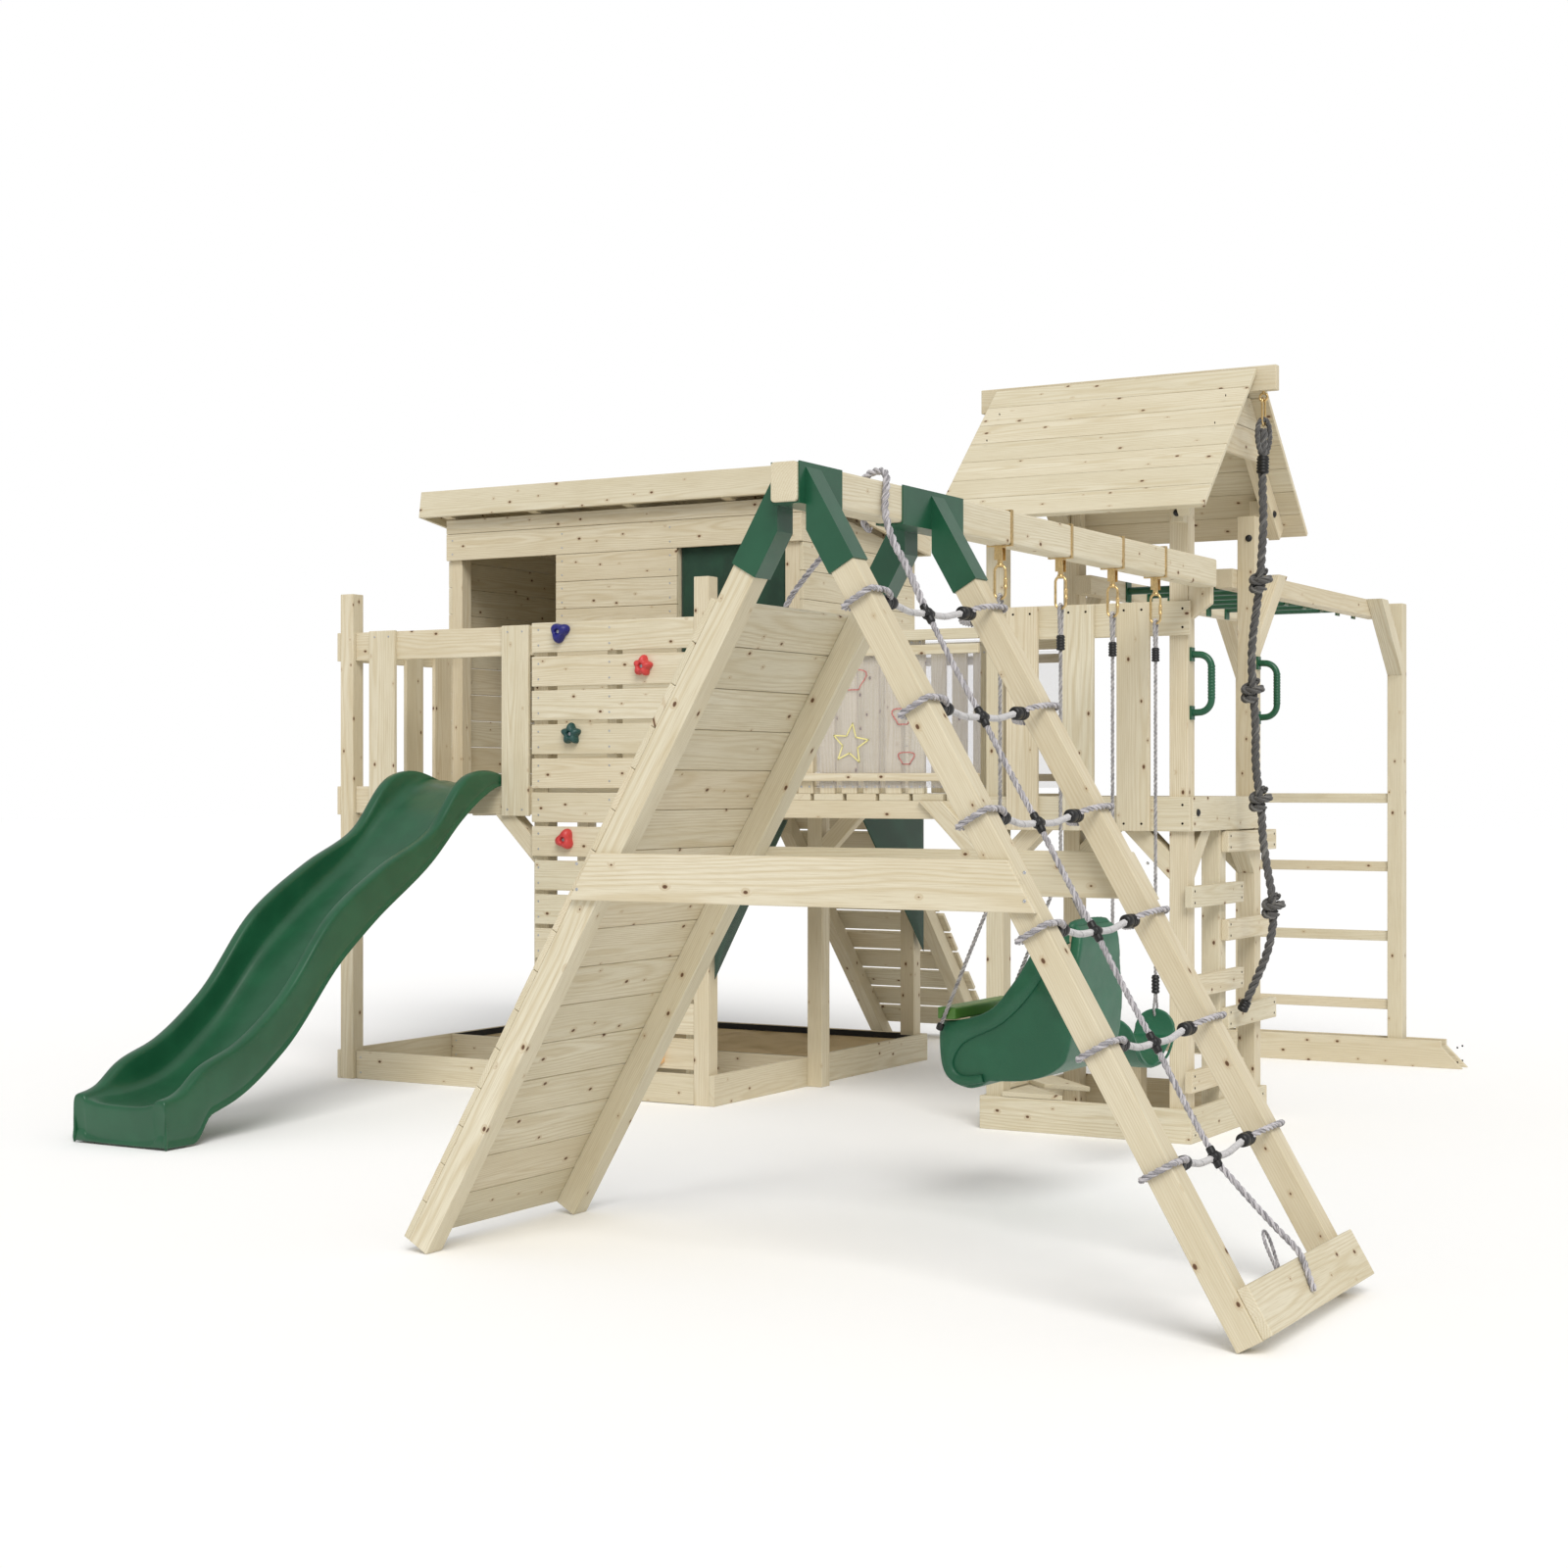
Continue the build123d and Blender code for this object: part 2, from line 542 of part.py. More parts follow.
RAFTER_X = ((-SPAN - HALF - 44, -SPAN - HALF), (HALF, HALF + 44))
STUD_X = ((-SPAN - HALF + 1, -SPAN - HALF + 45), (HALF - 45, HALF - 1))
with BuildPart() as roof_frame:
    bar((-932, 228), (RIDGE_Y - 17, RIDGE_Y + 17), (2658, 2748))
    for x in RAFTER_X:
        for side in (-1, 1):
            slab_yz([gable_point(side, 20 + THIN, THIN), gable_point(side, 736, THIN),
                     gable_point(side, 736, THIN + POST),
                     gable_point(side, 20 + THIN + POST, THIN + POST)], *x)
    for x in STUD_X:
        for side, face in ((-1, -HALF), (1, SPAN + HALF)):
            y = sorted((face, face + side * 44))
            roof = RIDGE_Z + 17 - abs(face + side * 44 - RIDGE_Y) - 1.4142 * THIN
            bar(x, y, (2157, roof - 1))
save(roof_frame, "roof_frame")

with BuildPart() as gable_boards:
    for x in ((RAFTER_X[0][0] - THIN, RAFTER_X[0][0]), (RAFTER_X[1][1], RAFTER_X[1][1] + THIN)):
        for z0, z1 in ((2430, 2539), (2541, 2650)):
            half0 = 17 + RIDGE_Z - z0 - 1.4142 * THIN - 1
            half1 = 17 + RIDGE_Z - z1 - 1.4142 * THIN - 1
            slab_yz([(RIDGE_Y - half0, z0), (RIDGE_Y + half0, z0), (RIDGE_Y + half1, z1),
                     (RIDGE_Y - half1, z1)], *x)
save(gable_boards, "gable_boards")

# ---------------------------------------------------------------- monkey bars
MONKEY_X = ((-SPAN + HALF, -SPAN + HALF + POST), (-HALF - POST, -HALF))
END_X = ((-SPAN - HALF, -SPAN + HALF), (-HALF, HALF))
with BuildPart() as monkey_frame:
    for x in MONKEY_X:
        bar(x, (620, 2590), (MONKEY_Z0, MONKEY_Z1))
    for x in END_X:
        bar(x, (MONKEY_Y1, MONKEY_Y1 + POST), (0, MONKEY_Z1))
save(monkey_frame, "monkey_frame")

BAR_Y = [999.0 + 230.0 * n for n in range(7)]
with BuildPart() as monkey_bars:
    inner = (MONKEY_X[0][1], MONKEY_X[1][0])
    for y in BAR_Y:
        rod((inner[0], y, 2017), (inner[1], y, 2017), 30)
        for x in (inner[0], inner[1] - 6):
            bar((x, x + 6), (y - 24, y + 24), (2017 - 46, 2017 + 34))
save(monkey_bars, "monkey_bars")

with BuildPart() as monkey_ladder:
    for z0, z1 in ((1165, 1208), (860, 903), (550, 593), (245, 288)):
        bar((END_X[0][1], END_X[1][0]), (MONKEY_Y1 + 12, MONKEY_Y1 + POST - 12), (z0, z1))
    ends = [(-1007, 0), (303, 0), (209, 94), (209, BOARD), (-913, BOARD), (-913, 94)]
    for y in ((MONKEY_Y1 - THIN, MONKEY_Y1), (MONKEY_Y1 + POST, MONKEY_Y1 + POST + THIN)):
        slab_xz(ends, *y)
save(monkey_ladder, "monkey_ladder")

# ---------------------------------------------------------------- knee braces
with BuildPart() as knee_braces:
    look_under = 1160
    for y in ((-HALF, HALF), (SPAN - HALF, SPAN + HALF)):
        slab_xz(knee((-HALF, 917), look_under - 917, -1), *y)
        slab_xz(knee((-SPAN + HALF, 917), look_under - 917, 1), *y)
    slab_yz(knee((HALF, 917), look_under - 917, 1), -HALF + 1, HALF - 1)
    slab_yz(knee((SPAN - HALF, 917), look_under - 917, -1), -HALF + 1, HALF - 1)
    slab_xz([(-1006, 1188), (-910, 1188), (-690, 968), (-690, 872)], -LOOK_OUT - 2, -HALF)
    slab_xz(knee((PLAY_X1 + POST, 931), 1121 - 931, 1), MID_POST_Y[0], SPAN + HALF)
    slab_xz(knee((POST_B[0], 930), FRAME_Z0 + 7 - 930, -1), *BEHIND_WALL)
    for x in END_X:
        slab_yz(knee((MONKEY_Y1, 1734), MONKEY_Z1 - 1734, -1), *x)
        slab_yz(knee((SPAN + HALF, 1734), MONKEY_Z1 - 1734, 1), *x)
save(knee_braces, "knee_braces")

# ---------------------------------------------------------------- rear access ramp
RAMP_FOOT, RAMP_STEEP = 2832.0, 1.09
with BuildPart() as rear_ramp:
    top_y = PLAY_Y1 + 1
    for x in ((-2670, -2602), (-2136, -2068)):
        z = (RAMP_FOOT - top_y) * RAMP_STEEP
        slab_yz([(RAMP_FOOT, 0), (RAMP_FOOT - 96, 0), (top_y, z - 105), (top_y, z)], *x)
    slope = (1 + RAMP_STEEP ** 2) ** 0.5
    for n in range(11):
        y = RAMP_FOOT - 50 - n * 90
        z = (RAMP_FOOT - y) * RAMP_STEEP + 2
        run = (BOARD - 10) / slope
        rise = run * RAMP_STEEP
        off = 18 / slope
        right = -2050 + 6 * (n % 3)
        slat = [(y, z), (y - run, z + rise), (y - run + off * RAMP_STEEP, z + rise + off),
                (y + off * RAMP_STEEP, z + off)]
        slab_yz(slat, -2690, right)
save(rear_ramp, "rear_ramp")

# ---------------------------------------------------------------- swing beam and climber
with BuildPart() as swing_beam:
    bar((BEAM_X - BEAM_W / 2, BEAM_X + BEAM_W / 2), (BEAM_Y0, BEAM_Y1), (BEAM_Z, BEAM_Z + BEAM_H))
    fillet(swing_beam.edges().filter_by(Axis.Y), radius=9)
    slab_xz([(HALF, 1816), (116, 1875), (116, 2030), (HALF, 2030)], BEAM_Y1 + 1, 0)
save(swing_beam, "swing_beam")

with BuildPart() as climber_legs:
    for side in (-1, 1):
        for y in LEG_Y:
            slab_xz(leg_box(side, (0, LEG_LENGTH), (0, POST)), y, y + POST)
save(climber_legs, "climber_legs")

with BuildPart() as climber_boards:
    for y in ((CLIMB_Y0 - THIN, CLIMB_Y0), (CLIMB_Y1, CLIMB_Y1 + THIN)):
        slab_xz([(-546, 954), (750, 954), (680, 1075), (-476, 1075)], *y)
    slab_xz(leg_box(1, (2, 122), (POST, POST + 28)), CLIMB_Y0 + 4, CLIMB_Y1 + 27)
save(climber_boards, "climber_boards")

with BuildPart() as ramp_boards:
    for n in range(16):
        a = n * (BOARD + 0.5)
        slab_xz(leg_box(-1, (a, a + BOARD - 1), (POST, POST + THIN)), CLIMB_Y0, CLIMB_Y1)
save(ramp_boards, "ramp_boards")

SLEEVE = 2028.0
with BuildPart() as beam_brackets:
    face = BEAM_W / 2
    for y, collar in ((LEG_Y[0], (-2957, -2742)), (LEG_Y[1], (-2412, -2052))):
        bar((BEAM_X - face - STEEL, BEAM_X + face + STEEL), collar, (BEAM_Z - STEEL, BEAM_Z + BEAM_H + 1))
        for side in (-1, 1):
            wall = BEAM_X + side * (face + STEEL)
            inner, outer = leg_point(side, SLEEVE, -STEEL), leg_point(side, SLEEVE, POST + STEEL)
            rise = 1 / tan(LEAN)
            slab_xz([inner, outer, (wall, outer[1] + abs(outer[0] - wall) * rise),
                     (wall, inner[1] + abs(inner[0] - wall) * rise)], y - STEEL, y + POST + STEEL)
        bar((BEAM_X - face - 0.2, BEAM_X + face + 0.2), (collar[0] - 1, collar[1] + 1),
            (BEAM_Z - 0.2, BEAM_Z + BEAM_H + 60), Mode.SUBTRACT)
        for side in (-1, 1):
            slab_xz(leg_box(side, (SLEEVE - 10, LEG_LENGTH + 2), (-0.2, POST + 0.2)),
                    y - 0.2, y + POST + 0.2, Mode.SUBTRACT)
save(beam_brackets, "beam_brackets")

# ---------------------------------------------------------------- climbing net
NET_OUT = HALF
CONNECTOR = (-2774.0, -2330.0)
CONNECTOR_LENGTH = 46.0
SAG = 16.0


def net_point(along, y, sag=0.0):
    """A point of the net's plane, half way through the legs, let down by sag."""
    x, z = leg_point(1, along, NET_OUT)
    return (x, y, z - sag)


def leg_loop(along, y, side):
    """A rope round one leg, from a connector to the leg and back to the connector."""
    near = y + (POST if side < 0 else 0)
    far = y + (0 if side < 0 else POST)
    reach = ROPE / 2 + 1.5
    rim = CONNECTOR[0] if side < 0 else CONNECTOR[1]
    start = rim + side * CONNECTOR_LENGTH / 2
    outline = [(-4, start), (-reach, near - side * 10), (-reach, far + side * reach),
               (POST + reach, far + side * reach), (POST + reach, near - side * 10),
               (HALF + 42, start + side * 4)]
    points = []
    for out, where in outline:
        x, z = leg_point(1, along, out)
        points.append((x, where, z))
    return points


with BuildPart() as net_rungs:
    for along in RUNGS:
        for y, side in ((LEG_Y[0], -1), (LEG_Y[1], 1)):
            tube(leg_loop(along, y, side), ROPE, [9.0] * 4)
        left = CONNECTOR[0] + CONNECTOR_LENGTH / 2
        right = CONNECTOR[1] - CONNECTOR_LENGTH / 2
        middle = 25.5
        for a, b in ((left, NET_Y - middle), (right, NET_Y + middle)):
            low = net_point(along, b, SAG)
            tube([net_point(along, a, 4), net_point(along, (a + b) / 2, SAG * 0.8), low], ROPE)
save(net_rungs, "net_rungs")

with BuildPart() as net_fittings:
    for along in RUNGS:
        for y in CONNECTOR:
            x, _, z = net_point(along, y, 2)
            half = CONNECTOR_LENGTH / 2 - 1.8
            rod((x, y - half, z), (x, y + half, z), 26)
        x, y, z = net_point(along, NET_Y, SAG)
        with BuildSketch(Plane(origin=(x, y, z), x_dir=(0, 1, 0), z_dir=(cos(LEAN), 0, sin(LEAN)))):
            RectangleRounded(44, 44, 12)
        extrude(amount=13, both=True)
save(net_fittings, "net_fittings")

# The centre rope is held all the way: looped over the beam, through the crosses, round the board.
def centre_run(a, b):
    """Route of the centre rope between two crosses, with a little slack."""
    x0, y0, z0 = net_point(a + 25, NET_Y, SAG)
    x1, y1, z1 = net_point(b - 25, NET_Y, SAG)
    return [(x0, y0, z0), ((x0 + x1) / 2, y0 + 6, (z0 + z1) / 2 - 9), (x1, y1, z1)]


BEAM_SIDE = BEAM_W / 2 + ROPE / 2 + 5
with BuildPart() as net_centre_rope:
    for a, b in zip(RUNGS, RUNGS[1:]):
        tube(centre_run(a, b), ROPE)
    x, y, z = net_point(RUNGS[-1] + 25, NET_Y, SAG)
    right = BEAM_X + BEAM_SIDE
    left = BEAM_X - BEAM_SIDE
    tube([(x, y, z), (232, -2551, 1790), (178, -2545, 1870), (right, -2535, 1950), (right, -2520, 2010),
          (right - 8, -2505, 2052), (BEAM_X, -2490, 2058), (left + 8, -2478, 2046), (left, -2470, 2000),
          (left, -2466, 1940), (left + 12, -2474, 1912), (BEAM_X - 18, -2484, 1908)], ROPE,
         [40, 40, 60, 60, 24, 28, 22, 30, 30, 14])
    low_x, low_y, low_z = net_point(RUNGS[0] - 25, NET_Y, SAG)
    foot = leg_point(1, 122, POST + 14)
    tube([(low_x, low_y, low_z), (1095, -2556, 275), (1132, -2549, 205), (1165, -2552, 160),
          (foot[0] - 22, -2560, foot[1] + 20)], ROPE)
save(net_centre_rope, "net_centre_rope")

# The ramp's pull rope: a free rope tied under the beam, over the top board and down the ramp.
RAMP_OUT = POST + THIN + PULL_ROPE / 2 + 3


def on_ramp(along, y, out=RAMP_OUT):
    """A point above the outer face of the ramp's boards."""
    x, z = leg_point(-1, along, out)
    return (x, y, z)


RAMP_ROPE = [(52, -2540, 1908), (22, -2538, 1884), (-16, -2536, 1852), (-56, -2533, 1816), (-95, -2530, 1776),
             on_ramp(1948, -2528, RAMP_OUT + 2), on_ramp(1884, -2526, RAMP_OUT + 1), on_ramp(1800, -2516),
             on_ramp(1690, -2518, RAMP_OUT + 1), on_ramp(1560, -2540), on_ramp(1410, -2566, RAMP_OUT + 1),
             on_ramp(1260, -2560), on_ramp(1110, -2532, RAMP_OUT + 1), on_ramp(960, -2512),
             on_ramp(810, -2526, RAMP_OUT + 1), on_ramp(680, -2552), on_ramp(560, -2560)]
with BuildPart() as ramp_rope:
    length = tube(RAMP_ROPE, PULL_ROPE)
    print("ramp rope length", round(length), "volume check",
          round(ramp_rope.part.volume / (3.14159 * PULL_ROPE ** 2 / 4 * length), 4),
          [round(r) for r in widest_arcs(RAMP_ROPE)])
save(ramp_rope, "ramp_rope")

# ---------------------------------------------------------------- swings
EYE = (176.0, RIDGE_Y, 2636.0)         # eyebolt under the end of the ridge board
BAND = 3.0
BAND_WIDTH = 14.0
PIN = 8.0
with BuildPart() as swing_clamps:
    w = BEAM_W / 2
    for y in BABY_Y + BELT_Y:
        with Locations((BEAM_X, y, BEAM_Z + BEAM_H / 2)):
            Box(BEAM_W + 2 * BAND, BAND_WIDTH, BEAM_H + 2 * BAND)
            Box(BEAM_W + 0.4, BAND_WIDTH + 2, BEAM_H + 0.4, mode=Mode.SUBTRACT)
        for side in (-1, 1):
            cheek = sorted((y + side * 11, y + side * 14))
            bar((BEAM_X - 12, BEAM_X + 12), cheek, (PIVOT_Z - 12, BEAM_Z - BAND + 1))
        bar((BEAM_X - 12, BEAM_X + 12), (y - 14, y + 14), (BEAM_Z - 7, BEAM_Z - 0.3))
        rod((BEAM_X, y - 11.5, PIVOT_Z), (BEAM_X, y + 11.5, PIVOT_Z), PIN)
    rod((EYE[0], EYE[1], EYE[2] + 12), (EYE[0], EYE[1], 2658), 10)
    with Locations(Location(EYE, (90, 0, 0))):
        Torus(14, 4)
save(swing_clamps, "swing_clamps")

RING_W, RING_H, WIRE = 42.0, 104.0, 8.0
RING_TOP = PIVOT_Z - 26.0


def snap_hook(y):
    """A swivel on the pivot pin with an oval spring hook hanging from it, as one fitting."""
    rod((BEAM_X, y, RING_TOP - 6), (BEAM_X, y, PIVOT_Z + 10), 17)
    rod((BEAM_X, y - 12, PIVOT_Z), (BEAM_X, y + 12, PIVOT_Z), PIN + 0.8, Mode.SUBTRACT)
    half = RING_W / 2 - WIRE / 2
    top, low = RING_TOP - half, RING_TOP - RING_H + WIRE + half
    with BuildLine() as ring:
        Line((BEAM_X - half, y, low), (BEAM_X - half, y, top))
        ThreePointArc((BEAM_X - half, y, top), (BEAM_X, y, top + half), (BEAM_X + half, y, top))
        Line((BEAM_X + half, y, top), (BEAM_X + half, y, low))
        ThreePointArc((BEAM_X + half, y, low), (BEAM_X, y, low - half), (BEAM_X - half, y, low))
    with BuildSketch(Plane(origin=ring.line @ 0, z_dir=ring.line % 0)) as wire:
        Circle(WIRE / 2)
    sweep(sections=wire.sketch, path=ring.line)


with BuildPart() as baby_swing_hooks:
    for y in BABY_Y:
        snap_hook(y)
save(baby_swing_hooks, "baby_swing_hooks")
with BuildPart() as belt_swing_hooks:
    for y in BELT_Y:
        snap_hook(y)
save(belt_swing_hooks, "belt_swing_hooks")

ROPE_TOP = RING_TOP - RING_H - 1.0       # the ropes start under the hooks
CLIP_Z = (1652.0, 1698.0)                # black adjusters

# belt swing
BELT_TOP = 512.0
BELT_DIP = 343.0
BELT_X = (32.0, 172.0)
BELT_CLIP = (562.0, 622.0)
with BuildPart() as belt_seat:
    mid = sum(BELT_Y) / 2
    left, right = BELT_Y
    with BuildSketch(Plane.YZ.offset(BELT_X[0])) as strap:
        with BuildLine():
            outer = Spline((left - 6, BELT_TOP), (left + 30, BELT_TOP - 95), (mid, BELT_DIP),
                           (right - 30, BELT_TOP - 95), (right + 6, BELT_TOP),
                           tangents=((0.05, -1), (0.05, 1)))
            inner = Spline((left + 5, BELT_TOP), (left + 40, BELT_TOP - 88), (mid, BELT_DIP + 11),
                           (right - 40, BELT_TOP - 88), (right - 5, BELT_TOP),
                           tangents=((0.05, -1), (0.05, 1)))
            Line(outer @ 0, inner @ 0)
            Line(outer @ 1, inner @ 1)
        make_face()
    extrude(to_extrude=strap.sketch, amount=BELT_X[1] - BELT_X[0])
    for y in BELT_Y:
        with BuildSketch(Plane.XZ.offset(-y - 30)) as round_end:
            with Locations((BEAM_X, BELT_TOP - 70)):
                Rectangle(200, 140)
                Circle(70, mode=Mode.SUBTRACT)
            with Locations((BEAM_X, BELT_TOP - 105)):
                Rectangle(140, 70, mode=Mode.SUBTRACT)
        extrude(to_extrude=round_end.sketch, amount=60, mode=Mode.SUBTRACT)
save(belt_seat, "belt_seat")

with BuildPart() as belt_ropes:
    for y in BELT_Y:
        rod((BEAM_X, y, CLIP_Z[1] + 0.2), (BEAM_X, y, ROPE_TOP), CORD * 1.7)
        rod((BEAM_X, y, BELT_CLIP[1] + 0.2), (BEAM_X, y, CLIP_Z[0] - 0.2), CORD)
        rod((BEAM_X, y, BELT_TOP + 0.3), (BEAM_X, y, BELT_CLIP[0] - 0.2), CORD * 1.7)
save(belt_ropes, "belt_ropes")

with BuildPart() as belt_rope_clips:
    for y in BELT_Y:
        rod((BEAM_X, y, CLIP_Z[0]), (BEAM_X, y, CLIP_Z[1]), 26)
        rod((BEAM_X, y, BELT_CLIP[0]), (BEAM_X, y, BELT_CLIP[1]), 26)
save(belt_rope_clips, "belt_rope_clips")

# baby seat: a moulded bucket that faces -X
SEAT_Y = (-1700.0, -1324.0)
SHELL = 26.0
SPLIT_Z = 985.0
with BuildPart() as baby_seat:
    with BuildSketch(Plane.XZ.offset(-SEAT_Y[1])) as side:
        with BuildLine():
            Spline((-97, 566), (-20, 560), (70, 592), (134, 668), (170, 750), (204, 826), (250, 850))
            Spline((250, 850), (310, 838), (318, 740), (314, 640), (308, 540), (288, 463))
            Spline((288, 463), (236, 424), (160, 402), (47, 395))
            Spline((47, 395), (-20, 372), (-66, 392), (-92, 450), (-97, 566))
        make_face()
    extrude(to_extrude=side.sketch, amount=SEAT_Y[1] - SEAT_Y[0])
    with BuildSketch(Plane.XZ.offset(-SEAT_Y[1] + SHELL)) as hollow:
        with BuildLine():
            Polyline((-150, 470), (40, 440), (180, 446))
            Spline((180, 446), (250, 486), (274, 590), (284, 700), (290, 900))
            Polyline((290, 900), (-150, 900), (-150, 470))
        make_face()
    extrude(to_extrude=hollow.sketch, amount=SEAT_Y[1] - SEAT_Y[0] - 2 * SHELL, mode=Mode.SUBTRACT)
    for y, inward in ((SEAT_Y[0], 1), (SEAT_Y[1], -1)):
        slab_yz([(y - inward, 650), (y + 66 * inward, 880), (y - inward, 880)], 0, 340, Mode.SUBTRACT)
save(baby_seat, "baby_seat")

BAR_X, BAR_Z = -70.0, 590.0
PULL = Vector(BEAM_X - BAR_X, 0, SPLIT_Z - BAR_Z).normalized()      # way the bar slides up its ropes
with BuildPart() as baby_t_bar:
    bar((BAR_X - 26, BAR_X + 30), (BABY_Y[0], BABY_Y[1]), (570, 606))
    bar((BAR_X - 14, BAR_X + 18), (-1540, -1484), (472, 571))
    for y in BABY_Y:
        start = Vector(BAR_X, y, BAR_Z) - PULL * 60
        rod(tuple(start), tuple(start + PULL * 120), CORD + 3, Mode.SUBTRACT)
save(baby_t_bar, "baby_t_bar")

REAR = (292.0, 628.0)                    # where the rear ropes meet the seat's back
with BuildPart() as baby_ropes:
    for y in BABY_Y:
        rod((BEAM_X, y, CLIP_Z[1] + 0.2), (BEAM_X, y, ROPE_TOP), CORD * 1.7)
        rod((BEAM_X, y, SPLIT_Z + 22.2), (BEAM_X, y, CLIP_Z[0] - 0.2), CORD)
        low = Vector(BAR_X, y, BAR_Z) - PULL * 34
        rod(tuple(Vector(BEAM_X, y, SPLIT_Z) - PULL * 25), tuple(low), CORD)
        back = Vector(REAR[0] - BEAM_X, 0, REAR[1] - SPLIT_Z).normalized()
        rod(tuple(Vector(BEAM_X, y, SPLIT_Z) + back * 25), (REAR[0], y, REAR[1]), CORD)
        rod((REAR[0], y, REAR[1]), (REAR[0], max(min(y, SEAT_Y[1] + 0.3), SEAT_Y[0] - 0.3), REAR[1]), CORD)
save(baby_ropes, "baby_ropes")

with BuildPart() as baby_rope_clips:
    for y in BABY_Y:
        rod((BEAM_X, y, CLIP_Z[0]), (BEAM_X, y, CLIP_Z[1]), 26)
        rod((BEAM_X, y, SPLIT_Z - 20), (BEAM_X, y, SPLIT_Z + 22), 30)
        low = Vector(BAR_X, y, BAR_Z) - PULL * 34.2
        rod(tuple(low), tuple(low - PULL * 22), 20)
save(baby_rope_clips, "baby_rope_clips")

# ---------------------------------------------------------------- climbing rope
LIMB = 32.0
CLIMB_ROUTE = [(176, 353, 2524), (174, 353, 2440), (171, 352, 2330), (176, 355, 2200), (170, 352, 2080),
               (163, 354, 1990), (150, 352, 1880), (133, 354, 1770), (131, 352, 1660), (138, 354, 1570),
               (148, 351, 1450), (144, 354, 1340), (154, 352, 1250), (168, 354, 1170), (172, 351, 1060),
               (188, 354, 950), (209, 352, 850), (214, 354, 765), (196, 351, 660), (154, 354, 560),
               (112, 352, 470)]
KNOTS = [(166, 353, 1977), (136, 353, 1584), (166, 353, 1194), (213, 353, 812)]
with BuildPart() as climbing_rope:
    length = tube(CLIMB_ROUTE, LIMB)
    print("climbing rope length", round(length), "volume check",
          round(climbing_rope.part.volume / (3.14159 * LIMB ** 2 / 4 * length), 4),
          [round(r) for r in widest_arcs(CLIMB_ROUTE)])
    for knot in KNOTS:
        with Locations(knot):
            Sphere(46)
save(climbing_rope, "climbing_rope")

with BuildPart() as climbing_rope_hook:
    half = 17.0
    x, y = EYE[0], EYE[1]
    low, top = 2552, 2616
    with BuildLine() as ring:
        Line((x, y - half, low), (x, y - half, top))
        ThreePointArc((x, y - half, top), (x, y, top + half), (x, y + half, top))
        Line((x, y + half, top), (x, y + half, low))
        ThreePointArc((x, y + half, low), (x, y, low - half), (x, y - half, low))
    with BuildSketch(Plane(origin=ring.line @ 0, z_dir=ring.line % 0)) as wire:
        Circle(WIRE / 2)
    sweep(sections=wire.sketch, path=ring.line)
save(climbing_rope_hook, "climbing_rope_hook")

with BuildPart() as climbing_rope_ferrules:
    end = Vector(*CLIMB_ROUTE[-1])
    way = (end - Vector(*CLIMB_ROUTE[-2])).normalized()
    rod(tuple(end + way * 0.2), tuple(end + way * 42), 40)
save(climbing_rope_ferrules, "climbing_rope_ferrules")

# ---------------------------------------------------------------- bolt caps
CAP = 26.0
with BuildPart() as bolt_caps:
    for x, y, z in ((HALF + 18, 16, 1150), (116, -15, 1981)):
        rod((x, y, z), (x + 9, y, z), CAP)
    for y in (-56, SPAN + 56):
        rod((RAFTER_X[1][1], y, 2262), (RAFTER_X[1][1] + 9, y, 2262), CAP)
    for x in (STUD_X[0][0] + 22, STUD_X[1][0] + 22):
        rod((x, -HALF - 44, 2190), (x, -HALF - 53, 2190), CAP)
        rod((x, SPAN - HALF, 2167), (x, SPAN - HALF - 9, 2167), CAP)
save(bolt_caps, "bolt_caps")
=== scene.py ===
"""Looks of a timber play set with a rock climbing wall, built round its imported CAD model."""

import json
import random
from math import cos, pi, radians, sin

import bmesh
import bpy
import numpy as np
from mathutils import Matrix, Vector

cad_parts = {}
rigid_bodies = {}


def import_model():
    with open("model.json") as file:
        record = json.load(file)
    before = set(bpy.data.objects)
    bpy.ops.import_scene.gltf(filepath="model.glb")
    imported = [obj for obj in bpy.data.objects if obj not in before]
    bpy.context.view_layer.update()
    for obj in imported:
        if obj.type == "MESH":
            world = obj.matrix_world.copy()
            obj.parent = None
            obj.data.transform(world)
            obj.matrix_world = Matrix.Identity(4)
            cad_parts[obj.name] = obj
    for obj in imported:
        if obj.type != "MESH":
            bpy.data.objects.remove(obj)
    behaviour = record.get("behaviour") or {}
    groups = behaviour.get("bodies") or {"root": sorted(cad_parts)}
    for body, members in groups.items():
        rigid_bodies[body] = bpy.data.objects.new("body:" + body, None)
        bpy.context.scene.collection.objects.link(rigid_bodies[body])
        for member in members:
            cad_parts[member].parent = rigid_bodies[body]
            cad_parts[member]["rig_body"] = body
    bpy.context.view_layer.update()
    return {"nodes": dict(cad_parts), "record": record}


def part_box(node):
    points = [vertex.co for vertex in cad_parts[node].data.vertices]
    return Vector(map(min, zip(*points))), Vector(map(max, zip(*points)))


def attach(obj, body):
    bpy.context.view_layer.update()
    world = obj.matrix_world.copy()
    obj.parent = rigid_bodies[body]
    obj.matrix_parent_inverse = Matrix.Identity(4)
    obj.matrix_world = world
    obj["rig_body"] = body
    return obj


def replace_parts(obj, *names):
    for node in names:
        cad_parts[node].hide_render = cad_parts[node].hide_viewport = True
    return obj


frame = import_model()
NODES = frame["nodes"]
BODY = {name: node["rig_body"] for name, node in NODES.items()}
SLOT = {row["node"]: row["material_slot"] for row in frame["record"]["subparts"]}
MM = 0.001                     # routes and fittings are written in millimetres

# ---------------------------------------------------------------- camera
EYE = (3.004, -7.999, 1.250)
TURN = radians(29.95)          # the view turns this far from +Y towards -X
LENS = 55.4


